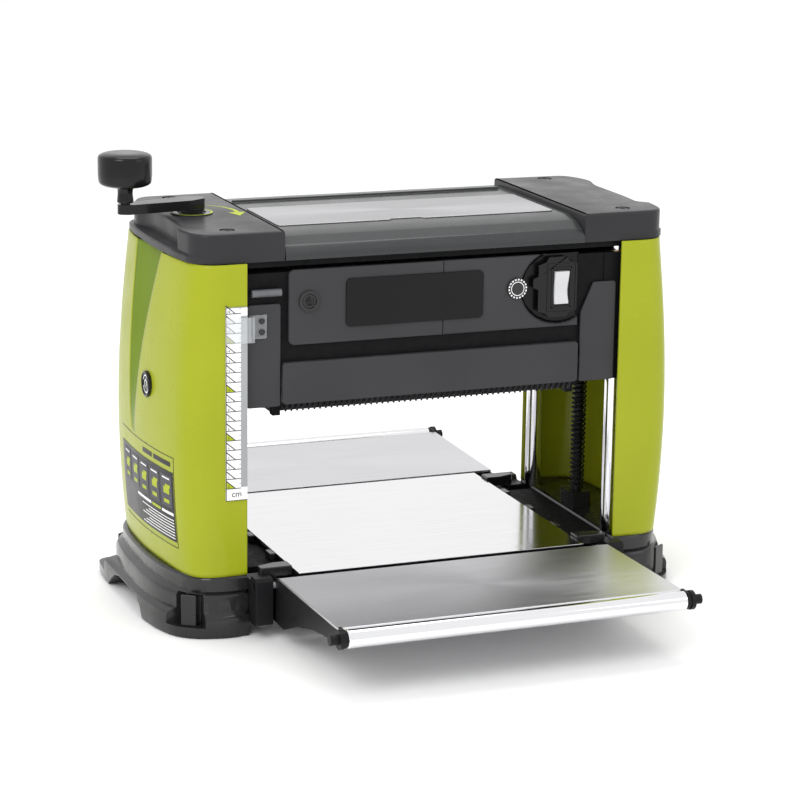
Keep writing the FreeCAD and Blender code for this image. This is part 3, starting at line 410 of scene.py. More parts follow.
def shell_heights():
    """The heights that the shell's rows of points stand at."""
    return [FLOOR_OF_SHELL + (TOP_OF_SHELL - FLOOR_OF_SHELL) * i / SHELL_ROWS
            for i in range(SHELL_ROWS + 1)]


def side_of(sign, point):
    """A point of the left side mirrored to the right (sign 1), or as it is (sign -1)."""
    return Vector((point.x * -sign, point.y, point.z))


def build_shell(side):
    """The moulded cover, open towards the carriage, without its scoop."""
    def build(shape):
        grids = {"front": [], "rear": []}
        for height in shell_heights():
            edges = [along_at(y) for y in scoop_edges(height)]
            for part, (low, high) in (("front", (0, edges[0])), ("rear", (edges[1], 1))):
                steps = COLUMNS[part]
                grids[part].append([side_of(side, shell_point(low + (high - low) * i / steps,
                                                              height))
                                    for i in range(steps + 1)])
        for grid in grids.values():
            sheet_of(shape, grid)
        bmesh.ops.remove_doubles(shape, verts=shape.verts, dist=0.02 * MM)
    return build


def build_scoop(side):
    """The hollow for a hand: deep and wide at the top, running out to a point below."""
    def build(shape):
        grid = []
        for height in shell_heights():
            if height < SCOOP_FOOT - 4:
                continue
            low, high = (along_at(y) for y in scoop_edges(height))
            depth = SCOOP_DEPTH * ease(SCOOP_FOOT, SCOOP_FOOT + SCOOP_FADE, height)
            row = []
            for i in range(COLUMNS["scoop"] + 1):
                t = i / COLUMNS["scoop"]
                sunk = depth * math.sin(math.pi * t ** 0.62) ** 0.75
                row.append(side_of(side, shell_point(low + (high - low) * t, height, -sunk)))
            grid.append(row)
        sheet_of(shape, grid, 0.05 * MM)
    return build


def thickened(thing, gauge):
    """Gives an open sheet a wall, inwards."""
    wall = thing.modifiers.new("wall", "SOLIDIFY")
    wall.thickness = gauge
    wall.offset = -1


def faced_out(thing):
    """Turns the faces of an open sheet away from the machine's middle."""
    shape = bmesh.new()
    shape.from_mesh(thing.data)
    total = sum((f.normal.x * f.calc_center_median().x * f.calc_area() for f in shape.faces))
    if total < 0:
        bmesh.ops.reverse_faces(shape, faces=shape.faces)
    shape.to_mesh(thing.data)
    shape.free()


# The shell and scoop named left stand on the right, and the other way round: see side_of.
for side, label in ((1, "left"), (-1, "right")):
    shell = grown("shell_" + label, build_shell(side), LIME, "chassis")
    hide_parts("side_shell_" + label)
    # The scoop is given the darker lime, painted shade for the hollow of the grip.
    scoop = grown("scoop_" + label, build_scoop(side), LIME_PAINTED_SHADE, "chassis")
    for thing in (shell, scoop):
        faced_out(thing)
        smooth(thing, 40)
        thickened(thing, SHELL_GAUGE * MM)
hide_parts("grip_inserts")


# ---------------------------------------------------------------- turned pieces

def turned(name, profile, centre, axis, mat, body, steps=72):
    """A lathe-turned piece from (radius, place along the axis) in millimetres."""
    def build(shape):
        rings = []
        for radius, along in profile:
            ring = []
            for i in range(steps):
                turn = 2 * math.pi * i / steps
                a, b = radius * math.cos(turn), radius * math.sin(turn)
                offset = {"x": (along, a, b), "y": (a, along, b), "z": (a, b, along)}[axis]
                ring.append(shape.verts.new((Vector(centre) + Vector(offset)) * MM))
            rings.append(ring)
        for lower, upper in zip(rings, rings[1:]):
            for i in range(steps):
                shape.faces.new((lower[i], lower[(i + 1) % steps], upper[(i + 1) % steps],
                                 upper[i]))
        for end in (rings[0], rings[-1]):
            shape.faces.new(end)
    thing = grown(name, build, mat, body)
    smooth(thing, 28)
    return thing


def rounded_profile(points, radius, steps=6):
    """The profile with each inner corner turned into an arc-like blend."""
    path = [Vector(points[0])]
    for before, corner, after in zip(points, points[1:], points[2:]):
        before, corner, after = Vector(before), Vector(corner), Vector(after)
        reach = min(radius, (corner - before).length * 0.48, (after - corner).length * 0.48)
        start = corner + (before - corner).normalized() * reach
        end = corner + (after - corner).normalized() * reach
        for i in range(steps + 1):
            t = i / steps
            path.append(start * (1 - t) ** 2 + corner * 2 * t * (1 - t) + end * t ** 2)
    return path + [Vector(points[-1])]


knob_low, knob_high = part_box("crank_knob")
knob_middle = ((knob_low + knob_high) / 2) / MM
knob_base, knob_top = knob_low.z / MM, knob_high.z / MM
knob_wide = (knob_high.x - knob_low.x) / MM / 2
KNOB_PROFILE = rounded_profile([
    (5.2, knob_base), (8.6, knob_base), (7.6, knob_base + 10), (8.2, knob_base + 15),
    (22, knob_base + 17.5), (knob_wide - 1, knob_base + 20), (knob_wide, knob_base + 27),
    (knob_wide, knob_top - 3), (knob_wide - 7, knob_top - 0.6), (14, knob_top),
    (0.4, knob_top)], 5)
knob = turned("knob_turned", KNOB_PROFILE, (knob_middle.x, knob_middle.y, 0), "z", GLOSS,
              "crank_grip")
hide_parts("crank_knob")

PLUG = {"y": -28, "z": 247, "sunk": 2.2}


def plug_face():
    """Where the left plug's face stands across the machine, in millimetres."""
    return shell_point(along_at(PLUG["y"]), PLUG["z"]).x / MM - PLUG["sunk"]


for side, label in ((1, "left"), (-1, "right")):
    rim = rounded_profile([(0.3, 1.0), (10.4, 1.4), (11.6, -0.6), (13.6, -0.4), (13.6, 6)], 1)
    plug = turned("plug_" + label, [(r, a * side) for r, a in rim],
                  (plug_face() * side, PLUG["y"], PLUG["z"]), "x", GLOSS, "chassis")
    if side == 1:
        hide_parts("shell_plugs")


def arc_band(shape, centre, radii, turns, normal, lift, steps=24):
    """A flat band bent round a centre, on a face that looks along the normal."""
    corners = []
    for i in range(steps + 1):
        turn = math.radians(turns[0] + (turns[1] - turns[0]) * i / steps)
        pair = []
        for radius in radii:
            a, b = radius * math.cos(turn), radius * math.sin(turn)
            offset = {"x": (lift, a, b), "y": (a, lift, b), "z": (a, b, lift)}[normal]
            pair.append(shape.verts.new((Vector(centre) + Vector(offset)) * MM))
        corners.append(pair)
    for low, high in zip(corners, corners[1:]):
        shape.faces.new((low[0], high[0], high[1], low[1]))


def build_plug_marks(shape):
    """The printed ring and hook on the left plug."""
    for radii, turns in (((8.2, 9.6), (20, 160)), ((8.2, 9.6), (200, 340)),
                         ((3.4, 4.8), (-70, 200))):
        arc_band(shape, (plug_face(), PLUG["y"], PLUG["z"]), radii, turns, "x", 0.75)


grown("plug_marks", build_plug_marks, INK, "chassis")


# The axles are thinner than the CAD's 3.5 mm, because they touched the arms.
AXLE_RADIUS = 3.3
for side in ("infeed", "outfeed"):
    low, high = (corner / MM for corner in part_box(side + "_end_roller"))
    tube = (high.z - low.z) / 2
    ends = (low.x + 10.5, high.x - 10.5)
    line = [(0.4, low.x + 0.5), (AXLE_RADIUS, low.x + 0.5), (AXLE_RADIUS, ends[0]),
            (tube - 1.2, ends[0]), (tube, ends[0] + 1.2), (tube, ends[1] - 1.2),
            (tube - 1.2, ends[1]), (AXLE_RADIUS, ends[1]), (AXLE_RADIUS, high.x - 0.5),
            (0.4, high.x - 0.5)]
    roller = turned(side + "_roller", line, (0, (low.y + high.y) / 2, (low.z + high.z) / 2), "x",
                    CHROME, side + "_roll")
    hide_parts(side + "_end_roller")


# ---------------------------------------------------------------- lifting screws and springs

def coil(name, centre, radius, wire, ends, pitch, sides, mat, body):
    """A round wire wound into an open coil."""
    def build(shape):
        turns = (ends[1] - ends[0]) / pitch
        count = int(turns * 22)
        rings = []
        for i in range(count + 1):
            turn = 2 * math.pi * turns * i / count
            out = Vector((math.cos(turn), math.sin(turn), 0))
            rise = ends[0] + (ends[1] - ends[0]) * i / count
            spine = Vector((centre[0], centre[1], rise)) + out * radius
            ring = []
            for j in range(sides):
                swing = 2 * math.pi * j / sides
                offset = out * (wire * math.cos(swing)) + Vector((0, 0, wire * math.sin(swing)))
                ring.append(shape.verts.new((spine + offset) * MM))
            rings.append(ring)
        for lower, upper in zip(rings, rings[1:]):
            for j in range(sides):
                shape.faces.new((lower[j], lower[(j + 1) % sides], upper[(j + 1) % sides],
                                 upper[j]))
        for end in (rings[0], rings[-1]):
            shape.faces.new(end)
    thing = grown(name, build, mat, body)
    smooth(thing, 60)
    return thing


spring_low, spring_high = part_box("screw_springs")
SPRING_ENDS = (spring_low.z / MM + 1, spring_high.z / MM - 1)
SCREW_X, SCREW_Y = 223, 8
for side, label in ((-1, "left"), (1, "right")):
    middle = (side * SCREW_X, SCREW_Y)
    spring = coil("spring_" + label, middle, radius=7.5, wire=1.0, ends=SPRING_ENDS, pitch=5.3,
                  sides=8, mat=OILED, body="chassis")
    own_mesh(spring)
    body = "crank" if side < 0 else "right_screw"
    coil("thread_" + label, middle, radius=4.75, wire=0.85, ends=(82, 376), pitch=3.0, sides=5,
         mat=OILED, body=body)
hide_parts("screw_springs")


# ---------------------------------------------------------------- printed marks

def plate(shape, corners):
    """One flat face."""
    shape.faces.new([shape.verts.new(Vector(c) * MM) for c in corners])


def front_plate(shape, xs, zs, y):
    """An upright rectangle that faces the front."""
    plate(shape, [(xs[0], y, zs[0]), (xs[1], y, zs[0]), (xs[1], y, zs[1]), (xs[0], y, zs[1])])


strip_low, strip_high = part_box("scale_strip")
STRIP = {"left": strip_low.x / MM, "right": strip_high.x / MM, "face": strip_low.y / MM,
         "foot": strip_low.z / MM, "head": strip_high.z / MM, "zero": 155.7, "band": -213}
MARKS = range(int((STRIP["head"] - STRIP["zero"]) / 10) + 1)


def build_strip_band(shape):
    front_plate(shape, (STRIP["band"], STRIP["right"]), (STRIP["zero"] + 1, STRIP["head"] - 9),
                STRIP["face"] - 0.06)


def build_strip_lime(shape):
    for mark in MARKS:
        if mark % 5 == 0:
            foot = STRIP["zero"] + 10 * mark
            left, face = STRIP["left"] + 0.4, STRIP["face"] - 0.08
            plate(shape, [(left, face, foot), (-219.4, face, foot), (left, face, foot + 7.6)])


def build_strip_ink(shape):
    face = STRIP["face"] - 0.12
    for mark in MARKS:
        foot = STRIP["zero"] + 10 * mark
        front_plate(shape, (STRIP["left"], STRIP["band"]), (foot - 0.4, foot + 0.4), face)
        plate(shape, [(STRIP["left"], face, foot + 7.9), (-219.8, face, foot + 0.2),
                      (-218.4, face, foot + 0.2), (STRIP["left"], face, foot + 9.2)])
        if foot + 5 < STRIP["head"]:
            front_plate(shape, (STRIP["band"] - 1.8, STRIP["band"]), (foot + 4.8, foot + 5.2),
                        face)
    for xs, zs in (((STRIP["left"], STRIP["left"] + 0.8), (STRIP["foot"], STRIP["head"])),
                   ((STRIP["left"], STRIP["right"]), (STRIP["foot"], STRIP["foot"] + 0.5)),
                   ((STRIP["left"], STRIP["right"]), (STRIP["head"] - 0.5, STRIP["head"]))):
        front_plate(shape, xs, zs, face)


grown("strip_band", build_strip_band, STRIP_GREY, "chassis")
grown("strip_lime", build_strip_lime, LIME_PRINT, "chassis")
grown("strip_ink", build_strip_ink, INK_DARK, "chassis")


def lettering(name, text, size, place, turn, mat, body):
    """A figure or unit as a flat mesh on a face."""
    font = bpy.data.curves.new(name, "FONT")
    font.body = text
    font.size = size * MM
    font.align_x = "CENTER"
    font.align_y = "CENTER"
    drawn = bpy.data.objects.new(name + "_text", font)
    bpy.context.scene.collection.objects.link(drawn)
    bpy.context.view_layer.update()
    mesh = bpy.data.meshes.new_from_object(drawn)
    bpy.data.objects.remove(drawn)
    mesh.transform(Matrix.Translation(Vector(place) * MM) @ turn)
    mesh.materials.clear()
    return piece(name, mesh, mat, body)


FACING_FRONT = Matrix.Rotation(math.radians(90), 4, "X")
lettering("strip_unit", "cm", 9, (-217.6, STRIP["face"] - 0.14, STRIP["foot"] + 6.6),
          FACING_FRONT, INK_DARK, "chassis")
for mark in MARKS:
    if STRIP["zero"] + 10 * mark + 4 < STRIP["head"]:
        lettering(f"strip_figure{mark}", str(mark), 3.4,
                  (STRIP["left"] + 3.0, STRIP["face"] - 0.16, STRIP["zero"] + 10 * mark + 2.0),
                  FACING_FRONT, INK_DARK, "chassis")


def skin_patch(shape, ys, zs, proud, steps=10):
    """A thin patch that follows the left shell's side."""
    low, high = along_at(ys[0]), along_at(ys[1])
    grid = [[shell_point(low + (high - low) * i / steps, zs[0] + (zs[1] - zs[0]) * j / 4, proud)
             for i in range(steps + 1)] for j in range(5)]
    sheet_of(shape, grid)


LABEL = {"front": -93, "rear": 62, "foot": 88, "head": 184}
BOXES = [(-88 + 29 * i, -64 + 29 * i) for i in range(5)]


def build_label_black(shape):
    skin_patch(shape, (LABEL["front"] + 2, LABEL["rear"]), (94, 168), 0.35, 30)
    for ys, zs in (((LABEL["front"], LABEL["rear"]), (LABEL["head"] - 0.8, LABEL["head"])),
                   ((LABEL["front"], LABEL["rear"]), (LABEL["foot"], LABEL["foot"] + 0.8)),
                   ((LABEL["front"], LABEL["front"] + 0.9), (LABEL["foot"], LABEL["head"]))):
        skin_patch(shape, ys, zs, 0.3, 24)
    for start, end in ((-86, -46), (-42, -16)):
        skin_patch(shape, (start, end), (173, 178), 0.3)


def build_label_boxes(shape):
    for front, rear in BOXES:
        skin_patch(shape, (front, rear), (129, 163), 0.55)


def build_label_lime(shape):
    for front, rear in BOXES:
        skin_patch(shape, (front + 5, rear - 6), (143, 150), 0.75, 5)
        skin_patch(shape, (front + 3, rear - 10), (150, 153), 0.75, 5)
        skin_patch(shape, (front + 6, rear - 6), (133, 137), 0.75, 5)
    skin_patch(shape, (-60, -38), (121.5, 124.5), 0.55)


def build_label_white(shape):
    for front, rear in BOXES:
        skin_patch(shape, (front + 4, rear - 4), (158.6, 160.2), 0.75, 4)
    skin_patch(shape, (-89, -63), (121.5, 124.5), 0.55)
    skin_patch(shape, (-35, 6), (121.5, 124.5), 0.55)
    for row in range(7):
        shorter = 9 * (row % 3)
        skin_patch(shape, (-89, -8 - shorter), (97 + 3.2 * row, 98.1 + 3.2 * row), 0.55, 12)


LABEL_BOX = moulded("label_box", rgb(70, 70, 76), rgb(78, 78, 84), 0.4, 0.02)
for name, build, mat in (("label_black", build_label_black, BADGE),
                         ("label_boxes", build_label_boxes, LABEL_BOX),
                         ("label_lime", build_label_lime, LIME_PRINT),
                         ("label_white", build_label_white, INK)):
    faced_out(grown(name, build, mat, "chassis"))


CRANK_AXIS = (-SCREW_X, SCREW_Y)
ARROW = {"radius": 47, "thick": 2.6, "thin": 0.9, "turns": (-12, 54), "steps": 26,
         "head": [(-180.5, -22), (-168.5, -2), (-186.5, -1)]}
RESET_AT = (88.5, 341)
BOLT_AT = (-138.8, 342)
SWITCH_AT = (137, 340)


def build_turn_arrow(shape):
    """The lime arrow round the crank that shows which way lifts the carriage."""
    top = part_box("top_cap_left")[1].z / MM + 0.12
    start, end = ARROW["turns"]
    rings = []
    for i in range(ARROW["steps"] + 1):
        t = i / ARROW["steps"]
        turn = math.radians(start + (end - start) * t)
        half = ARROW["thick"] * (1 - t) + ARROW["thin"] * t
        rings.append([shape.verts.new(Vector((CRANK_AXIS[0] + r * math.cos(turn),
                                              CRANK_AXIS[1] + r * math.sin(turn), top)) * MM)
                      for r in (ARROW["radius"] - half, ARROW["radius"] + half)])
    for low, high in zip(rings, rings[1:]):
        shape.faces.new((low[0], high[0], high[1], low[1]))
    plate(shape, [(x, y, top) for x, y in ARROW["head"]])
    arc_band(shape, (*CRANK_AXIS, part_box("crank_ring")[1].z / MM), (19.8, 21.8), (0, 360), "z",
             0.06, 60)


grown("turn_arrow", build_turn_arrow, LIME_PRINT, "chassis")


def build_reset_print(shape):
    """A white ring and a round of dashes about the reset button."""
    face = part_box("fascia_fittings")[0].y / MM - 0.1
    centre = (RESET_AT[0], face, RESET_AT[1])
    arc_band(shape, centre, (6.6, 7.5), (0, 360), "y", 0, 48)
    for mark in range(18):
        arc_band(shape, centre, (8.8, 10.4), (20 * mark, 20 * mark + 11), "y", 0, 3)


fitting_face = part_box("fascia_fittings")[0].y / MM
BOLT_DOME = [(0.3, 0.2), (3.0, 0.7), (5.0, 2.0), (6.0, 4.0), (6.2, 7.0), (0.3, 7.0)]
turned("fascia_bolt_dome", BOLT_DOME, (BOLT_AT[0], fitting_face, BOLT_AT[1]), "y", GLOSS,
       "carriage")
grown("reset_print", build_reset_print, INK, "carriage")


# ---------------------------------------------------------------- fascia with its dished recess

DISH = {"depth": 4.4, "floor": 40, "rim": 46, "dark": 43, "squeeze": 1.1}
EDGE_ROLL = 1.6


def dish_reach(x, z):
    """How far a place on the fascia is from the middle of the dish."""
    return math.hypot(x - SWITCH_AT[0], (z - SWITCH_AT[1]) * DISH["squeeze"])


def build_dished_fascia(shape):
    """The right fascia, hollowed round the switch so that a finger reaches it."""
    low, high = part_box("fascia_right")
    xs = (low.x / MM, high.x / MM)
    zs = (low.z / MM, high.z / MM)
    face, back = low.y / MM, high.y / MM
    across, upward = 190, 96
    grid = []
    for j in range(upward + 1):
        z = zs[0] + (zs[1] - zs[0]) * j / upward
        row = []
        for i in range(across + 1):
            x = xs[0] + (xs[1] - xs[0]) * i / across
            sunk = DISH["depth"] * (1 - ease(DISH["floor"], DISH["rim"], dish_reach(x, z)))
            edge = min(x - xs[0], xs[1] - x, z - zs[0], zs[1] - z)
            roll = max(0.0, EDGE_ROLL - edge)
            row.append(Vector((x, face + sunk + roll * roll * 0.35, z)) * MM)
        grid.append(row)
    sheet_of(shape, grid)
    rim = [e for e in shape.edges if e.is_boundary]
    walls = bmesh.ops.extrude_edge_only(shape, edges=rim)
    for v in walls["geom"]:
        if isinstance(v, bmesh.types.BMVert):
            v.co.y = back * MM


fascia = grown("fascia_dished", build_dished_fascia, GREY, "carriage")
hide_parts("fascia_right")
smooth(fascia, 40)
fascia.data.materials.append(BADGE)
for polygon in fascia.data.polygons:
    centre = polygon.center / MM
    if dish_reach(centre.x, centre.z) < DISH["dark"]:
        polygon.material_index = 1


# ---------------------------------------------------------------- pawls and rocker

pawl_low, pawl_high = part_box("kickback_pawls")
PAWL = {"count": 52, "pitch": 6.2, "y": -104, "z": 258, "tip": pawl_low.z / MM}


def build_pawls(shape):
    """Each pawl hangs from the rod and narrows to a tip that bites the wood."""
    hub = [(-6 * math.sin(math.radians(a)), 6 * math.cos(math.radians(a)), 2.6)
           for a in range(-100, 101, 25)]
    profile = [*hub, (-3.4, PAWL["tip"] - PAWL["z"] + 14, 2.1), (2.0, PAWL["tip"] - PAWL["z"], 0.7),
               (4.2, PAWL["tip"] - PAWL["z"] + 1, 0.7), (7.0, PAWL["tip"] - PAWL["z"] + 14, 2.1)]
    for number in range(PAWL["count"]):
        middle = (number - (PAWL["count"] - 1) / 2) * PAWL["pitch"]
        sides = [[shape.verts.new(Vector((middle + sign * half, PAWL["y"] + y, PAWL["z"] + z))
                                  * MM) for y, z, half in profile] for sign in (-1, 1)]
        shape.faces.new(sides[0])
        shape.faces.new(sides[1][::-1])
        for i in range(len(profile)):
            j = (i + 1) % len(profile)
            shape.faces.new((sides[0][j], sides[0][i], sides[1][i], sides[1][j]))


pawls = grown("pawl_row", build_pawls, OILED, "pawls")
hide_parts("kickback_pawls")
rocker_low, rocker_high = (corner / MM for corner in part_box("switch_rocker"))


def build_rocker(shape):
    """The rocker's face: dished across the middle, with a raised end to press."""
    rows = []
    for i in range(25):
        t = i / 24
        z = rocker_low.z + (rocker_high.z - rocker_low.z) * t
        y = rocker_low.y + 5 * math.sin(math.pi * t) ** 1.4 * (1.15 - t) + 1.2 * (1 - t)
        rows.append([shape.verts.new(Vector(at) * MM) for at in
                     ((rocker_low.x, rocker_high.y, z), (rocker_low.x, y + 0.8, z),
                      (rocker_low.x + 0.8, y, z), (rocker_high.x - 0.8, y, z),
                      (rocker_high.x, y + 0.8, z), (rocker_high.x, rocker_high.y, z))])
    for lower, upper in zip(rows, rows[1:]):
        for i in range(6):
            j = (i + 1) % 6
            shape.faces.new((lower[i], lower[j], upper[j], upper[i]))
    shape.faces.new(rows[0])
    shape.faces.new(rows[-1])


rocker = grown("rocker_face", build_rocker, ROCKER, "rocker")
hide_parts("switch_rocker")
smooth(rocker, 40)


def build_bezel(shape):
    """A raised frame round the rocker, over the switch's plate."""
    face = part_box("switch_housing")[0].y / MM - 0.02
    frames = (((126.4, 149.6), (317.6, 361.4), 2.2), ((121.5, 154.5), (313.5, 365.5), 1.0))
    for xs, zs, bar in frames:
        for bar_xs, bar_zs in ((xs, (zs[0], zs[0] + bar)), (xs, (zs[1] - bar, zs[1])),
                               ((xs[0], xs[0] + bar), zs), ((xs[1] - bar, xs[1]), zs)):
            made = bmesh.ops.create_cube(shape, size=1)
            spread = Vector((bar_xs[1] - bar_xs[0], 1.6, bar_zs[1] - bar_zs[0])) * MM
            middle = Vector((sum(bar_xs) / 2, face, sum(bar_zs) / 2)) * MM
            for v in made["verts"]:
                v.co = Vector([c * s for c, s in zip(v.co, spread)]) + middle


bevelled(grown("switch_bezel", build_bezel, GLOSS, "carriage"), 0.5 * MM)


# ---------------------------------------------------------------- caps and base, smooth

def rounded_loop(points, radius, steps=8):
    """A closed outline with its corners blended, sharp where the radius is 0."""
    path = []
    for i, corner in enumerate(points):
        reach_for = radius[i] if isinstance(radius, list) else radius
        before, corner = Vector(points[i - 1]), Vector(corner)
        after = Vector(points[(i + 1) % len(points)])
        reach = min(reach_for, (corner - before).length * 0.49, (after - corner).length * 0.49)
        start = corner + (before - corner).normalized() * reach
        end = corner + (after - corner).normalized() * reach
        for step in range(steps + 1):
            t = step / steps
            path.append(start * (1 - t) ** 2 + corner * 2 * t * (1 - t) + end * t ** 2)
    return path


def inset_loop(path, inset):
    """The loop moved inwards; the outline runs from front to back round the outer side."""
    moved = []
    for i, at in enumerate(path):
        ahead = path[(i + 1) % len(path)]
        behind = path[i - 1]
        across = ahead - behind
        if across.length < 1e-6:
            moved.append(at.copy())
            continue
        normal = Vector((-across.y, across.x)).normalized()
        moved.append(at - normal * inset)
    return moved


def stacked(levels, side):
    """A solid lofted through (loop, height) levels, on the left, or mirrored to the right."""
    def build(shape):
        rings = [[shape.verts.new(Vector((p.x * side, p.y, z)) * MM) for p in path]
                 for path, z in levels]
        for lower, upper in zip(rings, rings[1:]):
            for i in range(len(lower)):
                j = (i + 1) % len(lower)
                shape.faces.new((lower[i], lower[j], upper[j], upper[i]))
        shape.faces.new(rings[0])
        shape.faces.new(rings[-1])
    return build


def carved(thing, cutters):
    """Cuts plain shapes out of a piece and keeps the result as its mesh."""
    for cutter in cutters:
        modifier = thing.modifiers.new("carve", "BOOLEAN")
        modifier.operation = "DIFFERENCE"
        modifier.solver = "EXACT"
        modifier.object = cutter
    bpy.context.view_layer.update()
    result = bpy.data.meshes.new_from_object(
        thing.evaluated_get(bpy.context.evaluated_depsgraph_get()))
    thing.modifiers.clear()
    thing.data = result
    for cutter in cutters:
        bpy.data.objects.remove(cutter)


def cutter_block(points, axis, ends):
    """A scratch prism to carve with: an outline in the other two coordinates."""
    shape = bmesh.new()
    rings = []
    for end in ends:
        rings.append([shape.verts.new(Vector((end, a, b) if axis == "x" else (a, b, end)) * MM)
                      for a, b in points])
    for i in range(len(points)):
        j = (i + 1) % len(points)
        shape.faces.new((rings[0][i], rings[0][j], rings[1][j], rings[1][i]))
    shape.faces.new(rings[0])
    shape.faces.new(rings[1])
    bmesh.ops.recalc_face_normals(shape, faces=shape.faces)
    mesh = bpy.data.meshes.new("cutter")
    shape.to_mesh(mesh)
    shape.free()
    block = bpy.data.objects.new("cutter", mesh)
    bpy.context.scene.collection.objects.link(block)
    return block


def circle_points(x, y, radius, count=40):
    """A circle as an outline."""
    return [(x + radius * math.cos(2 * math.pi * i / count),
             y + radius * math.sin(2 * math.pi * i / count)) for i in range(count)]


cap_low, cap_high = (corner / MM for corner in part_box("top_cap_left"))
CAP_FOOT = 384.8
CAP_HEAD = cap_high.z
CAP_INNER = cap_high.x
CAP_PLAN = [(CAP_INNER, -126), (-246, -123), (-259, -104), (-263, -69), (-252.5, -61),
            (-255, -28), (-255, 50), (-263, 76), (-260, 96), (-248, 120), (CAP_INNER, 122)]
CAP_ROUNDS = [0.6, 12, 20, 6, 6, 30, 24, 6, 20, 14, 0.6]
LIP_PLAN = [(-238, -118), (-250, -116), (-261, -103), (-266.5, -70), (-270, -13), (-269, 67),
            (-263, 106), (-244, 116), (-236, 90), (-236, -90)]
LIP_ROUNDS = [4, 12, 24, 40, 60, 50, 14, 6, 4, 4]
CAP_EDGE = 3
RECESS = {"x": -218, "y": (-95, 104), "radius": 8, "depth": 2.6}
for side, label in ((1, "left"), (-1, "right")):
    plan = rounded_loop([(x, min(max(y, cap_low.y), cap_high.y)) for x, y in CAP_PLAN],
                        CAP_ROUNDS)
    levels = [(plan, CAP_FOOT), (plan, CAP_HEAD - CAP_EDGE)]
    for i in range(1, 6):
        turn = math.radians(18 * i)
        levels.append((inset_loop(plan, CAP_EDGE * (1 - math.cos(turn))),
                       CAP_HEAD - CAP_EDGE + CAP_EDGE * math.sin(turn)))
    cap = grown("cap_" + label, stacked(levels, side), CAP_GREY, "chassis")
    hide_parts("top_cap_" + label)
    carved(cap, [cutter_block(circle_points(RECESS["x"] * side, y, RECESS["radius"]), "z",
                              (CAP_HEAD - RECESS["depth"], CAP_HEAD + 2)) for y in RECESS["y"]])
    smooth(cap, 32)
    lip_plan = rounded_loop(LIP_PLAN, LIP_ROUNDS)
    lip_levels = [(inset_loop(lip_plan, 0.8), CAP_FOOT), (lip_plan, CAP_FOOT + 0.9),
                  (lip_plan, CAP_FOOT + 6.6), (inset_loop(lip_plan, 1.4), CAP_FOOT + 8)]
    lip = grown("cap_lip_" + label, stacked(lip_levels, side), CAP_GREY, "chassis")
    smooth(lip, 40)

# The crown frame is narrowed from the CAD's 272 mm, because it showed in the scoops.
CROWN_HALF = 252 * MM
crown_mesh = nodes["crown_frame"].data.copy()
for vertex in crown_mesh.vertices:
    vertex.co.x = min(max(vertex.co.x, -CROWN_HALF), CROWN_HALF)
crown = piece("crown_plate", crown_mesh, DARK_CASTING, "chassis")
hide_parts("crown_frame")

base_low, base_high = (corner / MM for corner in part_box("base_left"))
INNER = base_high.x
SKIRT = [(INNER, -130), (-228, -134), (-261, -126), (-280, -110), (-291, -80),
         (base_low.x, -36), (base_low.x, 100), (-292, 138), (-270, 142), (INNER, 142)]
LEDGE = [(INNER, -126), (-232, -127.5), (-254, -122), (-270, -106), (-286, -66),
         (-291, -20), (-290, 52), (-282, 104), (-266, 128), (INNER, 130)]
SEAT = [(INNER, -124), (-230, -125), (-251, -120), (-265, -104), (-278, -62),
        (-283, -16), (-282, 50), (-276, 98), (-262, 122), (INNER, 122)]
BASE_ROUNDS = [0.5, 16, 22, 24, 40, 40, 40, 26, 10, 0.5]


def base_levels():
    """The left foot's outlines, each with its height."""
    skirt, ledge, seat = (rounded_loop(plan, BASE_ROUNDS) for plan in (SKIRT, LEDGE, SEAT))
    return [(inset_loop(skirt, 3), 0), (inset_loop(skirt, 0.8), 1.2), (skirt, 4), (skirt, 19),
            (inset_loop(skirt, 1.2), 23), (inset_loop(skirt, 4.5), 25.4), (ledge, 27.5),
            (ledge, 41), (inset_loop(ledge, 1.5), 44.4), (inset_loop(ledge, 4.5), 46),
            (seat, 48), (seat, 60.5), (inset_loop(seat, 1.4), 62.6), (inset_loop(seat, 3), 63)]


FIN_PITCH, FIN_MIDDLE = 12.5, 28.5
FIN_SIZE = Vector((16, 3, 33))


def build_fin(at, degrees, side):
    """An upright rib in a corner pocket of a foot."""
    def build(shape):
        bmesh.ops.create_cube(shape, size=1)
        turn = Matrix.Rotation(math.radians(degrees) * side, 4, "Z")
        for v in shape.verts:
            v.co = turn @ (v.co * FIN_SIZE * MM)
            v.co += Vector((at.x * side, at.y, FIN_MIDDLE)) * MM
    return build


CUT_REACH = 310
POCKET_INNER, ARCH_INNER = 252, 262
POCKET_YS = ((-142, -97), (97, 152))
POCKET_ZS = (12, 45)
ARCH = [(-47, -2), (-40, 12), (-35, 18), (-26, 22), (40, 22), (54, 19), (66, 12), (86, -2)]
for side, label in ((1, "left"), (-1, "right")):
    foot = grown("foot_" + label, stacked(base_levels(), side), BLACK, "chassis")
    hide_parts("base_" + label)
    far, near = -CUT_REACH * side, -POCKET_INNER * side
    pockets = [cutter_block(rounded_loop([(far, front), (far, rear), (near, rear), (near, front)],
                                         3, 4), "z", POCKET_ZS) for front, rear in POCKET_YS]
    arch = cutter_block(ARCH, "x", (far, -ARCH_INNER * side))
    carved(foot, [arch, *pockets])
    smooth(foot, 30)
    for name, turn, centre in (("front", -35, (-262, -111)), ("rear", 35, (-264, 118))):
        for number in range(2):
            reach = FIN_PITCH * (number - 0.5)
            at = Vector((centre[0] - reach * math.sin(math.radians(turn)),
                         centre[1] + reach * math.cos(math.radians(turn)) * 0.6))
            fin = grown(f"foot_fin_{label}_{name}{number}", build_fin(at, turn, side), BLACK,
                        "chassis")
            bevelled(fin, 0.9 * MM)


# ---------------------------------------------------------------- camera and light

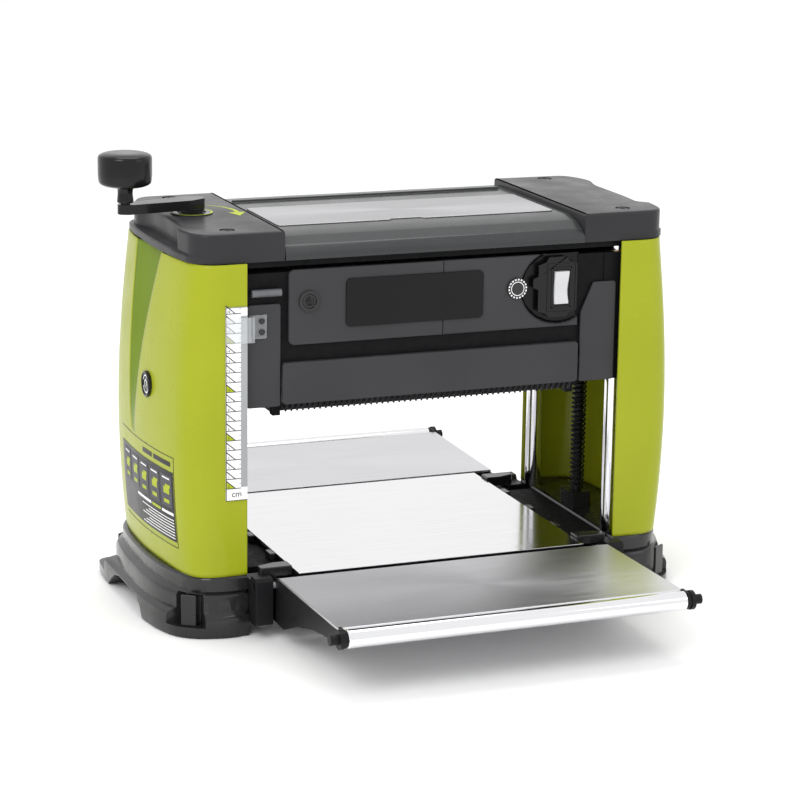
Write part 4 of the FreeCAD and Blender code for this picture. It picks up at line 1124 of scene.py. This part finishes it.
def look(place, forward, roll=0.0):
    """A camera or light placed by the way it faces, turned a little about its own axis."""
    forward = Vector(forward).normalized()
    right = forward.cross(Vector((0, 0, 1))).normalized()
    up = right.cross(forward)
    side = right * math.cos(roll) + up * math.sin(roll)
    top = up * math.cos(roll) - right * math.sin(roll)
    turn = Matrix((side, top, -forward)).transposed()
    return Matrix.Translation(place) @ turn.to_4x4()


camera = bpy.data.objects.new("camera", bpy.data.cameras.new("camera"))
bpy.context.scene.collection.objects.link(camera)
camera.data.lens = 122.26
camera.data.sensor_width = 36
camera.matrix_world = look((-1.03466, -2.63364, 0.90471), (0.35692, 0.90244, -0.24126),
                           math.radians(0.81))
bpy.context.scene.camera = camera


def soft_light(name, place, target, size, power):
    """A rectangular lamp that faces a target."""
    lamp = bpy.data.lights.new(name, "AREA")
    lamp.shape = "RECTANGLE"
    lamp.size, lamp.size_y = size
    lamp.energy = power
    thing = bpy.data.objects.new(name, lamp)
    bpy.context.scene.collection.objects.link(thing)
    thing.matrix_world = look(place, Vector(target) - Vector(place))


soft_light("key", (-1.6, -1.4, 1.9), (0, 0, 0.2), (1.2, 1.2), 22)
soft_light("fill", (1.8, -1.9, 1.2), (0, 0, 0.2), (1.2, 1.6), 6)
soft_light("top", (0.1, 0.3, 2.2), (0, 0.01, 0.3), (1.4, 1.0), 14)
world = bpy.data.worlds.new("studio")
world.use_nodes = True
world.node_tree.nodes["Background"].inputs["Color"].default_value = (1, 1, 1, 1)
world.node_tree.nodes["Background"].inputs["Strength"].default_value = 1.04
bpy.context.scene.world = world
bpy.context.scene.view_settings.view_transform = "Standard"

floor_shape = bmesh.new()
bmesh.ops.create_grid(floor_shape, x_segments=1, y_segments=1, size=9)
floor_mesh = bpy.data.meshes.new("floor")
floor_shape.to_mesh(floor_mesh)
floor_shape.free()
floor = bpy.data.objects.new("floor", floor_mesh)
bpy.context.scene.collection.objects.link(floor)
floor.data.materials.append(Finish("floor_paper", (0.96, 0.96, 0.96, 1), 0.8).mat)
